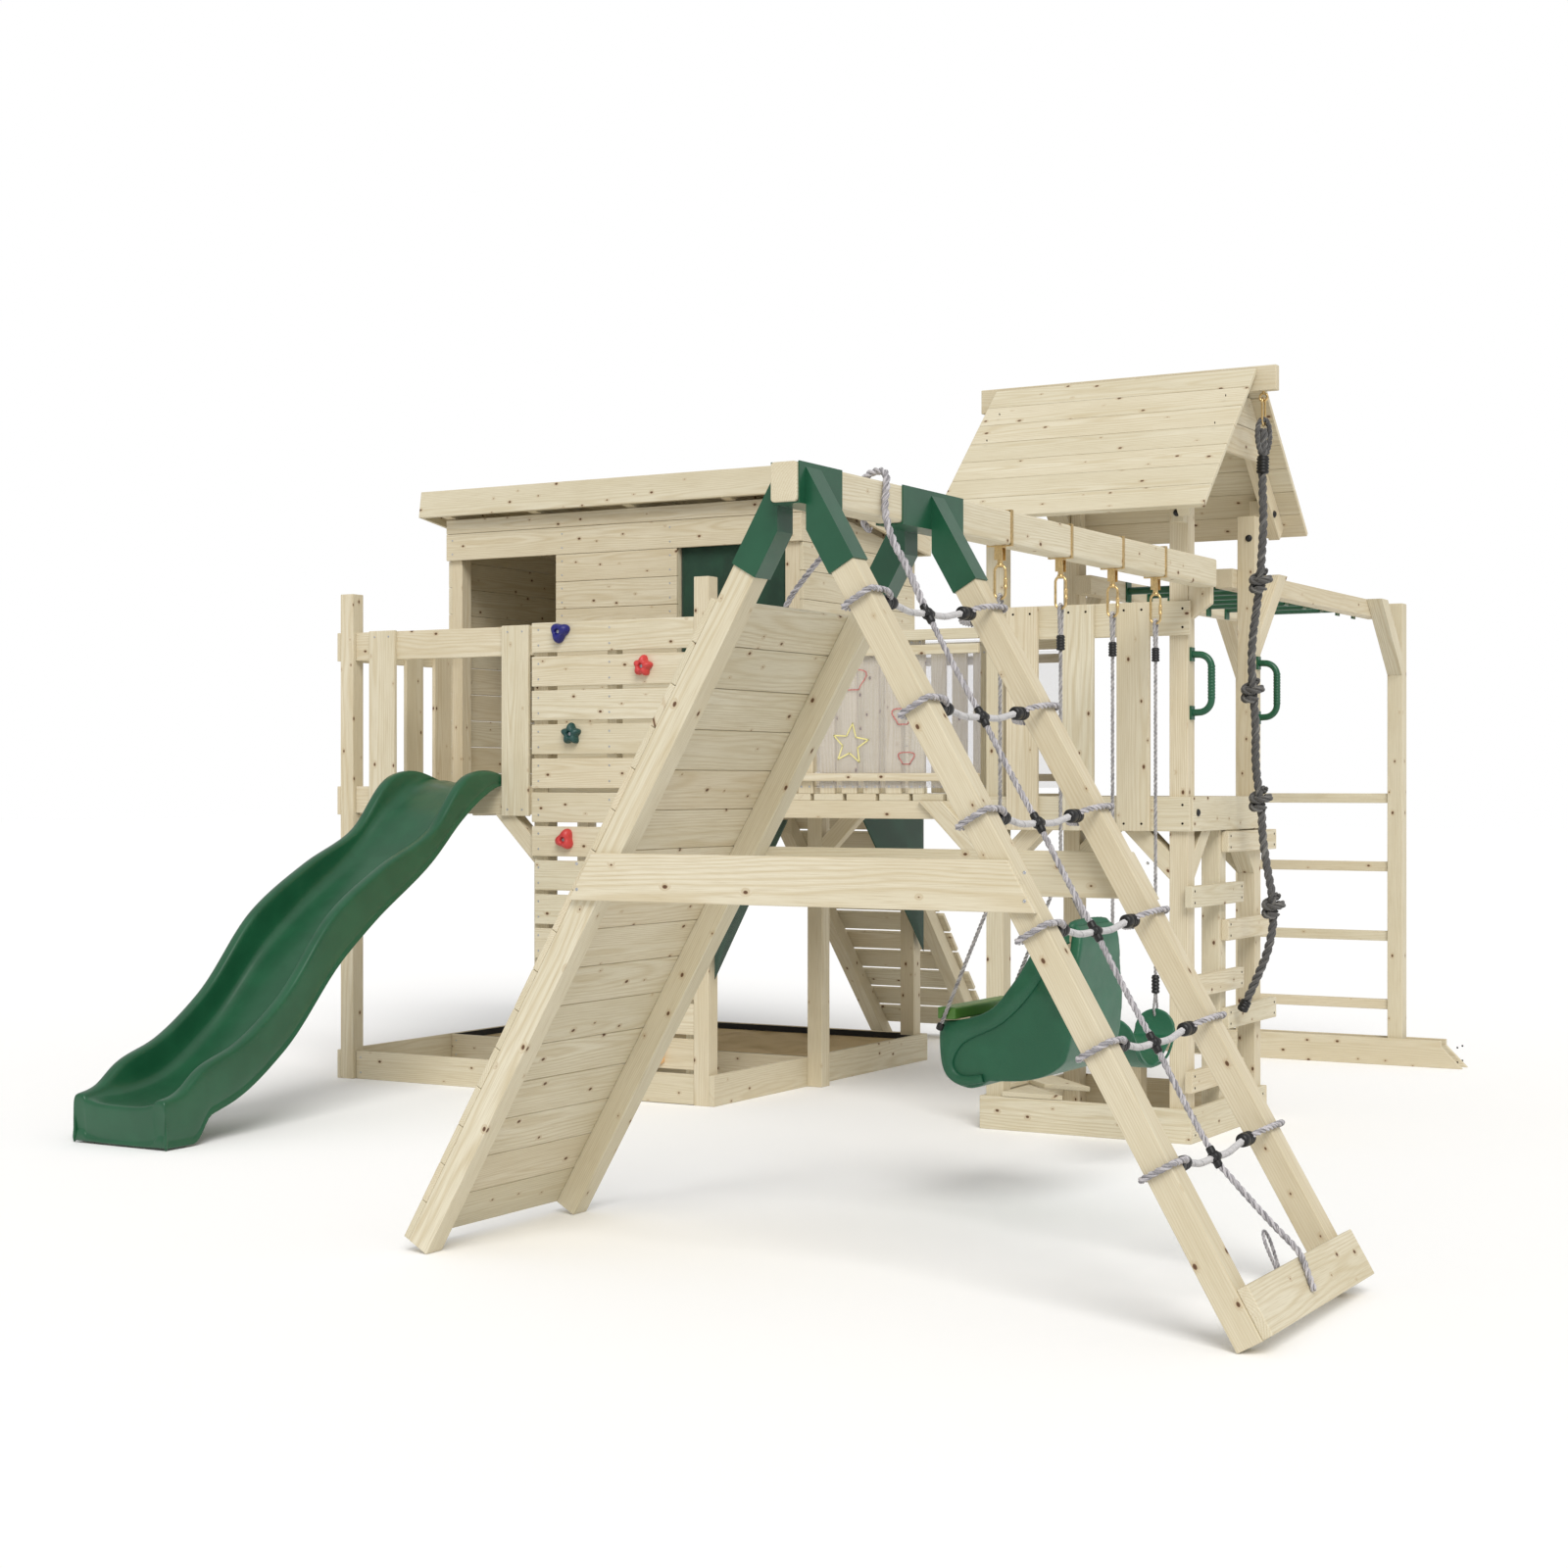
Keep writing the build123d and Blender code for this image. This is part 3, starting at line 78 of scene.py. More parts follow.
def make_camera():
    """A level camera in front of the net side, as the object is seen."""
    data = bpy.data.cameras.new("camera")
    data.lens = LENS
    data.sensor_width = 36
    data.clip_end = 100
    camera = bpy.data.objects.new("camera", data)
    camera.location = EYE
    camera.rotation_euler = (radians(90), 0, TURN)
    bpy.context.scene.collection.objects.link(camera)
    bpy.context.scene.camera = camera


make_camera()


# ---------------------------------------------------------------- node helpers
def put(tree, socket, value):
    """Link a socket, or set its value."""
    if isinstance(value, bpy.types.NodeSocket):
        tree.links.new(value, socket)
    else:
        socket.default_value = value


def calc(tree, operation, *values):
    """A Math node."""
    node = tree.nodes.new("ShaderNodeMath")
    node.operation = operation
    for socket, value in zip(node.inputs, values):
        put(tree, socket, value)
    return node.outputs[0]


def move(tree, operation, a, b):
    """A Vector Math node."""
    node = tree.nodes.new("ShaderNodeVectorMath")
    node.operation = operation
    put(tree, node.inputs[0], a)
    put(tree, node.inputs[1], b)
    return node.outputs["Value" if operation in ("LENGTH", "DISTANCE") else "Vector"]


def noise(tree, vector, scale, detail=3.0, roughness=0.5):
    """A Noise texture's value."""
    node = tree.nodes.new("ShaderNodeTexNoise")
    put(tree, node.inputs["Vector"], vector)
    node.inputs["Scale"].default_value = scale
    node.inputs["Detail"].default_value = detail
    node.inputs["Roughness"].default_value = roughness
    return node.outputs[0]


def spread(tree, value, low, high, to_low=0.0, to_high=1.0):
    """A smooth step of a value from low to high."""
    node = tree.nodes.new("ShaderNodeMapRange")
    node.interpolation_type = "SMOOTHSTEP"
    put(tree, node.inputs["Value"], value)
    node.inputs["From Min"].default_value = low
    node.inputs["From Max"].default_value = high
    node.inputs["To Min"].default_value = to_low
    node.inputs["To Max"].default_value = to_high
    return node.outputs["Result"]


def blend(tree, share, a, b, kind="MIX"):
    """A colour Mix node."""
    node = tree.nodes.new("ShaderNodeMix")
    node.data_type = "RGBA"
    node.blend_type = kind
    put(tree, node.inputs["Factor"], share)
    put(tree, node.inputs["A"], a)
    put(tree, node.inputs["B"], b)
    return node.outputs["Result"]


def attribute(tree, name):
    """A vector stored on the mesh."""
    node = tree.nodes.new("ShaderNodeAttribute")
    node.attribute_name = name
    return node.outputs["Vector"]


def place(tree):
    """The point in the object's own coordinates."""
    return tree.nodes.new("ShaderNodeTexCoord").outputs["Object"]


def bump(tree, shader, height, strength, distance):
    """A Bump node on the shader's normal."""
    node = tree.nodes.new("ShaderNodeBump")
    node.inputs["Strength"].default_value = strength
    node.inputs["Distance"].default_value = distance
    put(tree, node.inputs["Height"], height)
    tree.links.new(node.outputs["Normal"], shader.inputs["Normal"])


def material(name):
    """A new material, its tree and its main shader."""
    made = bpy.data.materials.new(name)
    made.use_nodes = True
    return made, made.node_tree, made.node_tree.nodes["Principled BSDF"]


def rgb(red, green, blue):
    """A linear colour from display values of 0 to 255."""
    return (*[((c / 255 + 0.055) / 1.055) ** 2.4 if c > 10 else c / 3295 for c in (red, green, blue)], 1)


# ---------------------------------------------------------------- materials
def timber_material():
    """Planed spruce: growth rings, fibres, small knots, and one tone for each board."""
    made, tree, shader = material("timber")
    grain, tone = attribute(tree, "grain"), attribute(tree, "tone")
    split = tree.nodes.new("ShaderNodeSeparateXYZ")
    put(tree, split.inputs[0], grain)
    along, across, deep = split.outputs
    shades = tree.nodes.new("ShaderNodeSeparateXYZ")
    put(tree, shades.inputs[0], tone)
    own = move(tree, "ADD", grain, move(tree, "MULTIPLY", tone, (31.0, 17.0, 23.0)))
    # knots: scattered over each face, a few in every metre
    flat = tree.nodes.new("ShaderNodeCombineXYZ")
    put(tree, flat.inputs[0], calc(tree, "MULTIPLY_ADD", along, 8.0, calc(tree, "MULTIPLY", shades.outputs[0], 40.0)))
    put(tree, flat.inputs[1], calc(tree, "MULTIPLY", calc(tree, "ADD", across, deep), 12.0))
    cells = tree.nodes.new("ShaderNodeTexVoronoi")
    cells.voronoi_dimensions = "2D"
    put(tree, cells.inputs["Vector"], flat.outputs[0])
    cells.inputs["Scale"].default_value = 1.0
    lot = tree.nodes.new("ShaderNodeSeparateColor")
    put(tree, lot.inputs[0], cells.outputs["Color"])
    size = spread(tree, lot.outputs[0], 0.45, 1.0, 0.0, 0.06)
    ragged = calc(tree, "MULTIPLY_ADD", noise(tree, own, 90.0, 2.0), 0.02, cells.outputs["Distance"])
    reach = calc(tree, "SUBTRACT", ragged, size)
    knot = spread(tree, reach, 0.016, 0.004)
    halo = calc(tree, "MULTIPLY", spread(tree, reach, 0.12, 0.0), calc(tree, "GREATER_THAN", size, 0.004))
    heart = spread(tree, reach, 0.0, -0.03)
    # growth rings round the tree's centre, bent by a slow drift and by the knots
    drift = noise(tree, move(tree, "MULTIPLY", own, (1.1, 7.0, 7.0)), 1.0, 2.0)
    flat_ring = tree.nodes.new("ShaderNodeCombineXYZ")
    put(tree, flat_ring.inputs[0], across)
    put(tree, flat_ring.inputs[1], deep)
    radius = move(tree, "LENGTH", flat_ring.outputs[0], (0, 0, 0))
    turns = calc(tree, "MULTIPLY_ADD", radius, 170.0, calc(tree, "MULTIPLY", drift, 7.0))
    turns = calc(tree, "ADD", turns, calc(tree, "MULTIPLY", halo, 1.3))
    ring = calc(tree, "POWER", calc(tree, "MULTIPLY_ADD", calc(tree, "SINE", calc(tree, "MULTIPLY", turns, 2 * pi)), 0.5, 0.5), 2.2)
    fibre = noise(tree, move(tree, "MULTIPLY", own, (9.0, 420.0, 420.0)), 1.0, 3.0, 0.6)
    cloud = noise(tree, move(tree, "MULTIPLY", own, (2.0, 9.0, 9.0)), 1.0, 2.0)
    pale, warm = rgb(219, 212, 190), rgb(190, 174, 138)
    colour = blend(tree, spread(tree, cloud, 0.25, 0.8), pale, rgb(207, 198, 172))
    colour = blend(tree, calc(tree, "MULTIPLY", ring, 0.5), colour, warm)
    colour = blend(tree, spread(tree, fibre, 0.42, 0.75, 0.0, 0.45), colour, rgb(172, 153, 116))
    colour = blend(tree, spread(tree, shades.outputs[1], 0.0, 1.0, 0.0, 0.22), colour, rgb(206, 182, 146))
    colour = blend(tree, spread(tree, shades.outputs[2], 0.3, 1.0, 0.0, 0.25), colour, rgb(192, 184, 158))
    colour = blend(tree, calc(tree, "MULTIPLY", halo, 0.4), colour, rgb(168, 138, 98))
    colour = blend(tree, calc(tree, "MULTIPLY", knot, 0.92), colour, rgb(98, 68, 44))
    colour = blend(tree, calc(tree, "MULTIPLY", heart, 0.6), colour, rgb(78, 50, 34))
    put(tree, shader.inputs["Base Color"], colour)
    put(tree, shader.inputs["Roughness"], spread(tree, fibre, 0.2, 0.9, 0.55, 0.78))
    shader.inputs["Specular IOR Level"].default_value = 0.3
    height = calc(tree, "MULTIPLY_ADD", ring, 0.5, calc(tree, "MULTIPLY_ADD", fibre, 0.8, calc(tree, "MULTIPLY", knot, -0.8)))
    bump(tree, shader, height, 0.35, 0.0006)
    return made


def plastic_material(name, colour, roughness, grain=260.0, depth=0.12, fleck=0.12, coat=0.0):
    """Moulded plastic or resin: a fine pebbled skin, slight mottling and scuffs."""
    made, tree, shader = material(name)
    where = place(tree)
    skin = noise(tree, where, grain, 3.0, 0.6)
    mottle = noise(tree, where, 9.0, 3.0)
    darker = tuple(c * 0.9 for c in colour[:3]) + (1,)
    lighter = tuple(min(1, c * 1.08 + 0.002) for c in colour[:3]) + (1,)
    tint = blend(tree, spread(tree, mottle, 0.3, 0.75), darker, lighter)
    tint = blend(tree, spread(tree, skin, 0.45, 0.8, 0.0, fleck), tint, tuple(min(1, c + 0.1) for c in colour[:3]) + (1,))
    put(tree, shader.inputs["Base Color"], tint)
    scuffs = noise(tree, where, 22.0, 4.0)
    put(tree, shader.inputs["Roughness"], spread(tree, scuffs, 0.25, 0.8, roughness - 0.03, roughness + 0.04))
    shader.inputs["Coat Weight"].default_value = coat
    shader.inputs["Coat Roughness"].default_value = 0.15
    bump(tree, shader, skin, depth, 0.0015)
    return made


def metal_material(name, colour, roughness, metallic=1.0):
    """Plated or painted steel with faint handling marks."""
    made, tree, shader = material(name)
    where = place(tree)
    marks = noise(tree, move(tree, "MULTIPLY", where, (60.0, 60.0, 14.0)), 4.0, 4.0, 0.6)
    duller = tuple(c * 0.75 for c in colour[:3]) + (1,)
    put(tree, shader.inputs["Base Color"], blend(tree, spread(tree, marks, 0.3, 0.75), duller, colour))
    shader.inputs["Metallic"].default_value = metallic
    put(tree, shader.inputs["Roughness"], spread(tree, marks, 0.2, 0.8, roughness - 0.08, roughness + 0.12))
    bump(tree, shader, noise(tree, where, 420.0, 2.0), 0.06, 0.001)
    return made


def rope_material(name, pale, dark, fleck_share):
    """Laid rope: twisted yarns across each strand, some of them dark, with painted shade in the grooves between the
    yarns.
    """
    made, tree, shader = material(name)
    yarn = attribute(tree, "yarn")
    split = tree.nodes.new("ShaderNodeSeparateXYZ")
    put(tree, split.inputs[0], yarn)
    along, around, strand = split.outputs
    turns = calc(tree, "MULTIPLY_ADD", along, 1.6, calc(tree, "MULTIPLY", around, 7.0))
    ridge = calc(tree, "MULTIPLY_ADD", calc(tree, "SINE", calc(tree, "MULTIPLY", turns, 2 * pi)), 0.5, 0.5)
    fuzz = noise(tree, move(tree, "MULTIPLY", yarn, (2.4, 5.0, 3.0)), 2.0, 3.0, 0.6)
    lot = noise(tree, move(tree, "MULTIPLY", yarn, (0.35, 3.0, 9.0)), 1.3, 1.0)
    dark_share = calc(tree, "MULTIPLY", spread(tree, lot, 0.62 - fleck_share, 0.72 - fleck_share), 0.75)
    dark_share = calc(tree, "MAXIMUM", dark_share, calc(tree, "MULTIPLY", calc(tree, "GREATER_THAN", strand, 1.5), fleck_share * 2.2))
    colour = blend(tree, dark_share, pale, dark)
    # painted shade: the grooves between the yarns, where the bump sinks, are darkened towards the dark colour
    colour = blend(tree, calc(tree, "MULTIPLY", calc(tree, "SUBTRACT", 1.0, ridge), 0.35), colour, dark)
    colour = blend(tree, spread(tree, fuzz, 0.3, 0.8, 0.0, 0.3), colour, tuple(c * 0.6 for c in pale[:3]) + (1,))
    put(tree, shader.inputs["Base Color"], colour)
    shader.inputs["Roughness"].default_value = 0.85
    shader.inputs["Sheen Weight"].default_value = 0.25
    bump(tree, shader, calc(tree, "MULTIPLY_ADD", ridge, 0.8, calc(tree, "MULTIPLY", fuzz, 0.5)), 0.7, 0.0009)
    return made


def canvas_material():
    """Dark green woven canvas, its threads crossing in the sheet's own plane."""
    made, tree, shader = material("green_canvas")
    where = attribute(tree, "weave")
    split = tree.nodes.new("ShaderNodeSeparateXYZ")
    put(tree, split.inputs[0], where)
    warp = calc(tree, "SINE", calc(tree, "MULTIPLY", split.outputs[0], 2 * pi * 420))
    weft = calc(tree, "SINE", calc(tree, "MULTIPLY", split.outputs[1], 2 * pi * 420))
    weave = calc(tree, "MULTIPLY_ADD", calc(tree, "MULTIPLY", warp, weft), 0.5, 0.5)
    faded = noise(tree, where, 6.0, 4.0)
    colour = blend(tree, spread(tree, faded, 0.3, 0.75), rgb(16, 52, 36), rgb(28, 74, 53))
    colour = blend(tree, calc(tree, "MULTIPLY", weave, 0.35), colour, rgb(10, 34, 24))
    put(tree, shader.inputs["Base Color"], colour)
    shader.inputs["Roughness"].default_value = 0.82
    shader.inputs["Sheen Weight"].default_value = 0.15
    bump(tree, shader, weave, 0.5, 0.0006)
    return made


def acrylic_material():
    """Clear, very slightly violet sheet with fine scratches."""
    made, tree, shader = material("clear_acrylic")
    scratch = noise(tree, move(tree, "MULTIPLY", place(tree), (4.0, 4.0, 160.0)), 3.0, 3.0)
    put(tree, shader.inputs["Base Color"], blend(tree, spread(tree, scratch, 0.4, 0.8), rgb(206, 206, 216), rgb(226, 226, 232)))
    put(tree, shader.inputs["Roughness"], spread(tree, scratch, 0.3, 0.8, 0.06, 0.2))
    shader.inputs["Alpha"].default_value = 0.16
    shader.inputs["IOR"].default_value = 1.49
    return made


def sand_material():
    """Play sand: pale grains of several colours."""
    made, tree, shader = material("play_sand")
    where = place(tree)
    grains = noise(tree, where, 900.0, 2.0, 0.7)
    damp = noise(tree, where, 5.0, 3.0)
    colour = blend(tree, spread(tree, damp, 0.35, 0.7), rgb(196, 172, 126), rgb(168, 142, 98))
    colour = blend(tree, spread(tree, grains, 0.4, 0.75, 0.0, 0.6), colour, rgb(228, 212, 176))
    put(tree, shader.inputs["Base Color"], colour)
    shader.inputs["Roughness"].default_value = 0.95
    bump(tree, shader, grains, 0.8, 0.002)
    return made


TIMBER = timber_material()
SLIDE_GREEN = plastic_material("slide_green", rgb(20, 80, 50), 0.34, grain=520.0, depth=0.03, fleck=0.01, coat=0.12)
SEAT_GREEN = plastic_material("seat_green", rgb(26, 92, 64), 0.42, grain=230.0, depth=0.45, fleck=0.06)
LIGHT_GREEN = plastic_material("light_green", rgb(72, 118, 44), 0.38)
GRIP_GREEN = plastic_material("grip_green", rgb(20, 84, 56), 0.36, grain=300.0)
BLACK = plastic_material("black_plastic", rgb(9, 9, 10), 0.45, fleck=0.05)
LINER_BLACK = plastic_material("liner_black", rgb(10, 10, 10), 0.6, fleck=0.05)
STEEL_GREEN = plastic_material("green_paint", rgb(24, 80, 54), 0.32, grain=520.0, depth=0.05, fleck=0.02, coat=0.15)
GOLD = metal_material("gold_plate", rgb(226, 196, 140), 0.3)
ZINC = metal_material("zinc_plate", rgb(196, 198, 202), 0.36)
DARK_SCREW = metal_material("dark_screw", rgb(48, 42, 36), 0.45)
NET_ROPE = rope_material("net_rope", rgb(214, 210, 213), rgb(100, 98, 104), 0.14)
SWING_ROPE = rope_material("swing_rope", rgb(202, 198, 196), rgb(104, 102, 104), 0.14)
CLIMB_ROPE = rope_material("climb_rope", rgb(128, 126, 122), rgb(58, 57, 58), 0.26)
WHITE_ROPE = rope_material("white_rope", rgb(222, 220, 220), rgb(150, 148, 150), 0.05)
CANVAS = canvas_material()
ACRYLIC = acrylic_material()
SAND = sand_material()
HOLD_COLOURS = {
    "hold_blue": plastic_material("resin_blue", rgb(16, 18, 108), 0.4, 180.0, 0.5, 0.1),
    "hold_red": plastic_material("resin_red", rgb(196, 58, 56), 0.42, 180.0, 0.5, 0.1),
    "hold_teal": plastic_material("resin_teal", rgb(20, 66, 62), 0.42, 180.0, 0.5, 0.1),
    "hold_peach": plastic_material("resin_peach", rgb(222, 178, 126), 0.45, 180.0, 0.5, 0.1),
}
STAR_YELLOW = plastic_material("chalk_yellow", rgb(240, 230, 150), 0.7, depth=0.3)
CHALK_RED = plastic_material("chalk_red", rgb(214, 112, 112), 0.7, depth=0.3)


# ---------------------------------------------------------------- mesh helpers
class Parts:
    """Vertices, faces and one stored vector for each vertex, gathered into one piece."""

    def __init__(self):
        self.points, self.faces, self.stored = [], [], []

    def add(self, points, faces, stored=None):
        first = len(self.points)
        self.points += [tuple(p) for p in points]
        self.faces += [tuple(first + i for i in face) for face in faces]
        self.stored += [tuple(v) for v in stored] if stored is not None else [(0, 0, 0)] * len(points)

    def piece(self, name, finish, body, slot, stored_as=None, smooth=True):
        mesh = bpy.data.meshes.new(name)
        mesh.from_pydata(self.points, [], self.faces)
        mesh.validate()
        if stored_as:
            layer = mesh.attributes.new(stored_as, "FLOAT_VECTOR", "POINT")
            layer.data.foreach_set("vector", np.array(self.stored, np.float32).ravel())
        return show(name, mesh, finish, body, smooth)


def show(name, mesh, finish, body, smooth=True):
    """Link a mesh as a piece that rides on a body."""
    mesh.materials.clear()
    mesh.materials.append(finish)
    mesh.shade_smooth() if smooth else mesh.shade_flat()
    piece = bpy.data.objects.new(name, mesh)
    bpy.context.scene.collection.objects.link(piece)
    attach(piece, body)
    return piece


def soften(piece, width, segments=2, angle=35):
    """Small rounded edges."""
    edge = piece.modifiers.new("edges", "BEVEL")
    edge.width = width
    edge.segments = segments
    edge.limit_method = "ANGLE"
    edge.angle_limit = radians(angle)
    edge.harden_normals = False
    return piece


def lathe(parts, profile, start, end, segments=20):
    """Turn (distance from start, radius) pairs about the line from start to end, all in millimetres."""
    start, end = Vector(start), Vector(end)
    axis = (end - start).normalized()
    side = axis.orthogonal().normalized()
    other = axis.cross(side)
    points, faces = [], []
    for along, radius in profile:
        for k in range(segments):
            turn = 2 * pi * k / segments
            points.append((start + axis * along + (side * cos(turn) + other * sin(turn)) * radius) * MM)
    rows = len(profile)
    for i in range(rows - 1):
        for k in range(segments):
            a, b = i * segments + k, i * segments + (k + 1) % segments
            faces.append((a, b, b + segments, a + segments))
    faces.append(tuple(reversed(range(segments))))
    faces.append(tuple((rows - 1) * segments + k for k in range(segments)))
    parts.add(points, faces)


def smooth_line(route):
    """Points in metres along the NURBS line whose control points are a route in millimetres."""
    curve = bpy.data.curves.new("route", "CURVE")
    curve.dimensions = "3D"
    curve.resolution_u = 10
    spline = curve.splines.new("NURBS")
    spline.points.add(len(route) - 1)
    for point, at in zip(spline.points, route):
        point.co = (at[0] * MM, at[1] * MM, at[2] * MM, 1)
    spline.order_u = 3
    spline.use_endpoint_u = True
    holder = bpy.data.objects.new("route", curve)
    mesh = bpy.data.meshes.new_from_object(holder)
    line = np.array([v.co for v in mesh.vertices], float)
    bpy.data.meshes.remove(mesh)
    bpy.data.objects.remove(holder)
    bpy.data.curves.remove(curve)
    return line


def spaced(line, step):
    """The same line with evenly spaced points."""
    along = np.concatenate([[0], np.cumsum(np.linalg.norm(np.diff(line, axis=0), axis=1))])
    at = np.linspace(0, along[-1], max(3, int(along[-1] / step) + 1))
    return np.stack([np.interp(at, along, line[:, k]) for k in range(3)], axis=1), along[-1]


def lay_rope(parts, line, diameter, strands=3, sides=8, lay=3.4, start=0.0):
    """Twisted strands round a line in metres; each strand is a closed tube."""
    points, total = spaced(np.asarray(line, float), diameter * lay / 11)
    tangents = np.gradient(points, axis=0)
    tangents /= np.linalg.norm(tangents, axis=1)[:, None]
    side = np.array(Vector(tangents[0]).orthogonal().normalized())
    frames = []
    for t in tangents:
        side = side - t * (side @ t)
        side /= np.linalg.norm(side)
        frames.append((side, np.cross(t, side)))
    n = len(points)
    distance = np.linspace(0, total, n)
    if strands == 1:
        offset, thick = 0.0, diameter / 2
    else:
        offset, thick = diameter * 0.262, diameter * 0.245
    for s in range(strands):
        ring_points, stored, faces = [], [], []
        for i in range(n):
            turn = 2 * pi * (distance[i] / (diameter * lay) + s / max(strands, 1) + start)
            u, v = frames[i]
            middle = points[i] + (u * cos(turn) + v * sin(turn)) * offset
            taper = 0.72 if i in (0, n - 1) else 1.0
            for k in range(sides):
                a = 2 * pi * k / sides + turn
                ring_points.append(middle + (u * cos(a) + v * sin(a)) * thick * taper)
                stored.append((distance[i] / diameter, k / sides if k <= sides / 2 else 1 - k / sides, s))
        for i in range(n - 1):
            for k in range(sides):
                a, b = i * sides + k, i * sides + (k + 1) % sides
                faces.append((a, b, b + sides, a + sides))
        faces.append(tuple(reversed(range(sides))))
        faces.append(tuple((n - 1) * sides + k for k in range(sides)))
        parts.add(ring_points, faces, stored)


# ---------------------------------------------------------------- timber
def islands(bm):
    """The separate closed shells of a mesh, as lists of vertices."""
    seen, found = set(), []
    for vert in bm.verts:
        if vert in seen:
            continue
        group, queue = [], [vert]
        seen.add(vert)
        while queue:
            here = queue.pop()
            group.append(here)
            for edge in here.link_edges:
                other = edge.other_vert(here)
                if other not in seen:
                    seen.add(other)
                    queue.append(other)
        found.append(group)
    return found


BOARD_BOXES = {}               # node name: (lowest, highest) corner of each board, in metres


def timber_piece(node):
    """A timber node's boards, each with its own grain direction, rings and tone, and eased edges."""
    lots = random.Random(node)
    bm = bmesh.new()
    bm.from_mesh(NODES[node].data)
    bmesh.ops.remove_doubles(bm, verts=bm.verts, dist=0.00002)
    bmesh.ops.dissolve_limit(bm, angle_limit=radians(1), verts=bm.verts, edges=bm.edges)
    grain = bm.verts.layers.float_vector.new("grain")
    tone = bm.verts.layers.float_vector.new("tone")
    boxes = []
    for group in islands(bm):
        edges = {e for v in group for e in v.link_edges}
        faces = {f for v in group for f in v.link_faces}
        longest = max(edges, key=lambda e: e.calc_length())
        along = (longest.verts[1].co - longest.verts[0].co).normalized()
        broad = max(faces, key=lambda f: f.calc_area() * (1 - abs(f.normal.dot(along))))
        deep = (broad.normal - along * broad.normal.dot(along)).normalized()
        across = deep.cross(along)
        middle = sum((v.co for v in group), Vector()) / len(group)
        heart = across * lots.uniform(-0.045, 0.045) + deep * lots.choice((-1, 1)) * lots.uniform(0.03, 0.1)
        shade = Vector((lots.random(), lots.random(), lots.random()))
        for vert in group:
            away = vert.co - middle - heart
            vert[grain] = (away.dot(along), away.dot(across), away.dot(deep))
            vert[tone] = shade
        boxes.append((Vector([min(v.co[k] for v in group) for k in range(3)]),
                      Vector([max(v.co[k] for v in group) for k in range(3)])))
    BOARD_BOXES[node] = boxes
    mesh = bpy.data.meshes.new(node + "_timber")
    bm.to_mesh(mesh)
    bm.free()
    piece = show(node + "_timber", mesh, TIMBER, BODY[node], smooth=False)
    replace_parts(piece, node)
    soften(piece, 0.0025)


for node_name in sorted(NODES):
    if SLOT[node_name] == "timber":
        timber_piece(node_name)

# ---------------------------------------------------------------- screws
HEAD = [(0.0, 4.4), (0.9, 4.2), (1.3, 3.2), (1.3, 1.9), (0.5, 1.5)]       # a countersunk head with a socket


def screw(parts, at, way):
    """A screw head at a point in millimetres, facing along way."""
    at, way = Vector(at), Vector(way)
    lathe(parts, HEAD, at - way * 0.2, at + way, segments=10)


def board_screws(parts, node, axis, side, inset=26.0, share=0.27):
    """Two screws at each end of every board of a node, on its face towards side along axis."""
    way = Vector((0, 0, 0))
    way[axis] = side
    for low, high in BOARD_BOXES[node]:
        size = (high - low) / MM
        others = sorted((k for k in range(3) if k != axis), key=lambda k: size[k])
        if size[axis] > 40 or size[others[0]] < 50:
            continue
        for end in (-1, 1):
            for line in (-share, share):
                at = (low + high) / 2 / MM
                at[axis] = (high[axis] if side > 0 else low[axis]) / MM
                at[others[1]] += end * (size[others[1]] / 2 - inset)
                at[others[0]] += line * size[others[0]]
                screw(parts, at, way)


def screws_on_rows(parts, node, columns, axis, side):
    """Two screws on every horizontal board of a node at each column along X."""
    way = Vector((0, 0, 0))
    way[axis] = side
    for low, high in BOARD_BOXES[node]:
        for x in columns:
            if low[0] / MM < x < high[0] / MM and (high[2] - low[2]) / MM > 70:
                for share in (0.24, 0.76):
                    z = (low[2] + (high[2] - low[2]) * share) / MM
                    screw(parts, (x, (high[1] if side > 0 else low[1]) / MM, z), way)


zinc = Parts()
screws_on_rows(zinc, "cabin_front_wall", (-3745, -3141, -2578, -1990), 1, -1)
screws_on_rows(zinc, "rock_wall_planks", (-2723, -2378, -1949), 1, -1)
board_screws(zinc, "railing_boards", 1, -1)
board_screws(zinc, "sandpit_boards", 1, -1)
board_screws(zinc, "climber_boards", 1, -1)
zinc.piece("pale_screws", ZINC, "root", "gold_steel")
dark = Parts()
board_screws(dark, "lookout_railing", 1, -1)
board_screws(dark, "ladder_steps", 0, 1)
board_screws(dark, "lookout_base", 0, 1)
board_screws(dark, "gable_boards", 0, 1)
board_screws(dark, "monkey_ladder", 1, 1)
dark.piece("dark_screws", DARK_SCREW, "root", "black_plastic")

# ---------------------------------------------------------------- climber and net ropes
BEAM_X = 102.0
LEAN = radians(30)
FOOT = 1121.0
POST = 68.0
LEG_Y = (-2922.0, -2242.0)
NET_OUT = POST / 2
NET_Y = -2554.0
RUNGS = [425.0 + 302.5 * n for n in range(6)]
CONNECTOR = (-2774.0, -2330.0)
CONNECTOR_LENGTH = 46.0
SAG = 16.0
ROPE = 16.5


def leg_point(side, along, out):
    """X and Z of a point of a climber leg: along it from its foot, out from its inner face."""
    x = BEAM_X + side * (FOOT - along * sin(LEAN) + out * cos(LEAN))
    return x, along * cos(LEAN) + out * sin(LEAN)


def net_point(along, y, sag=0.0):
    """A point of the net's plane, let down by sag."""
    x, z = leg_point(1, along, NET_OUT)
    return (x, y, z - sag)


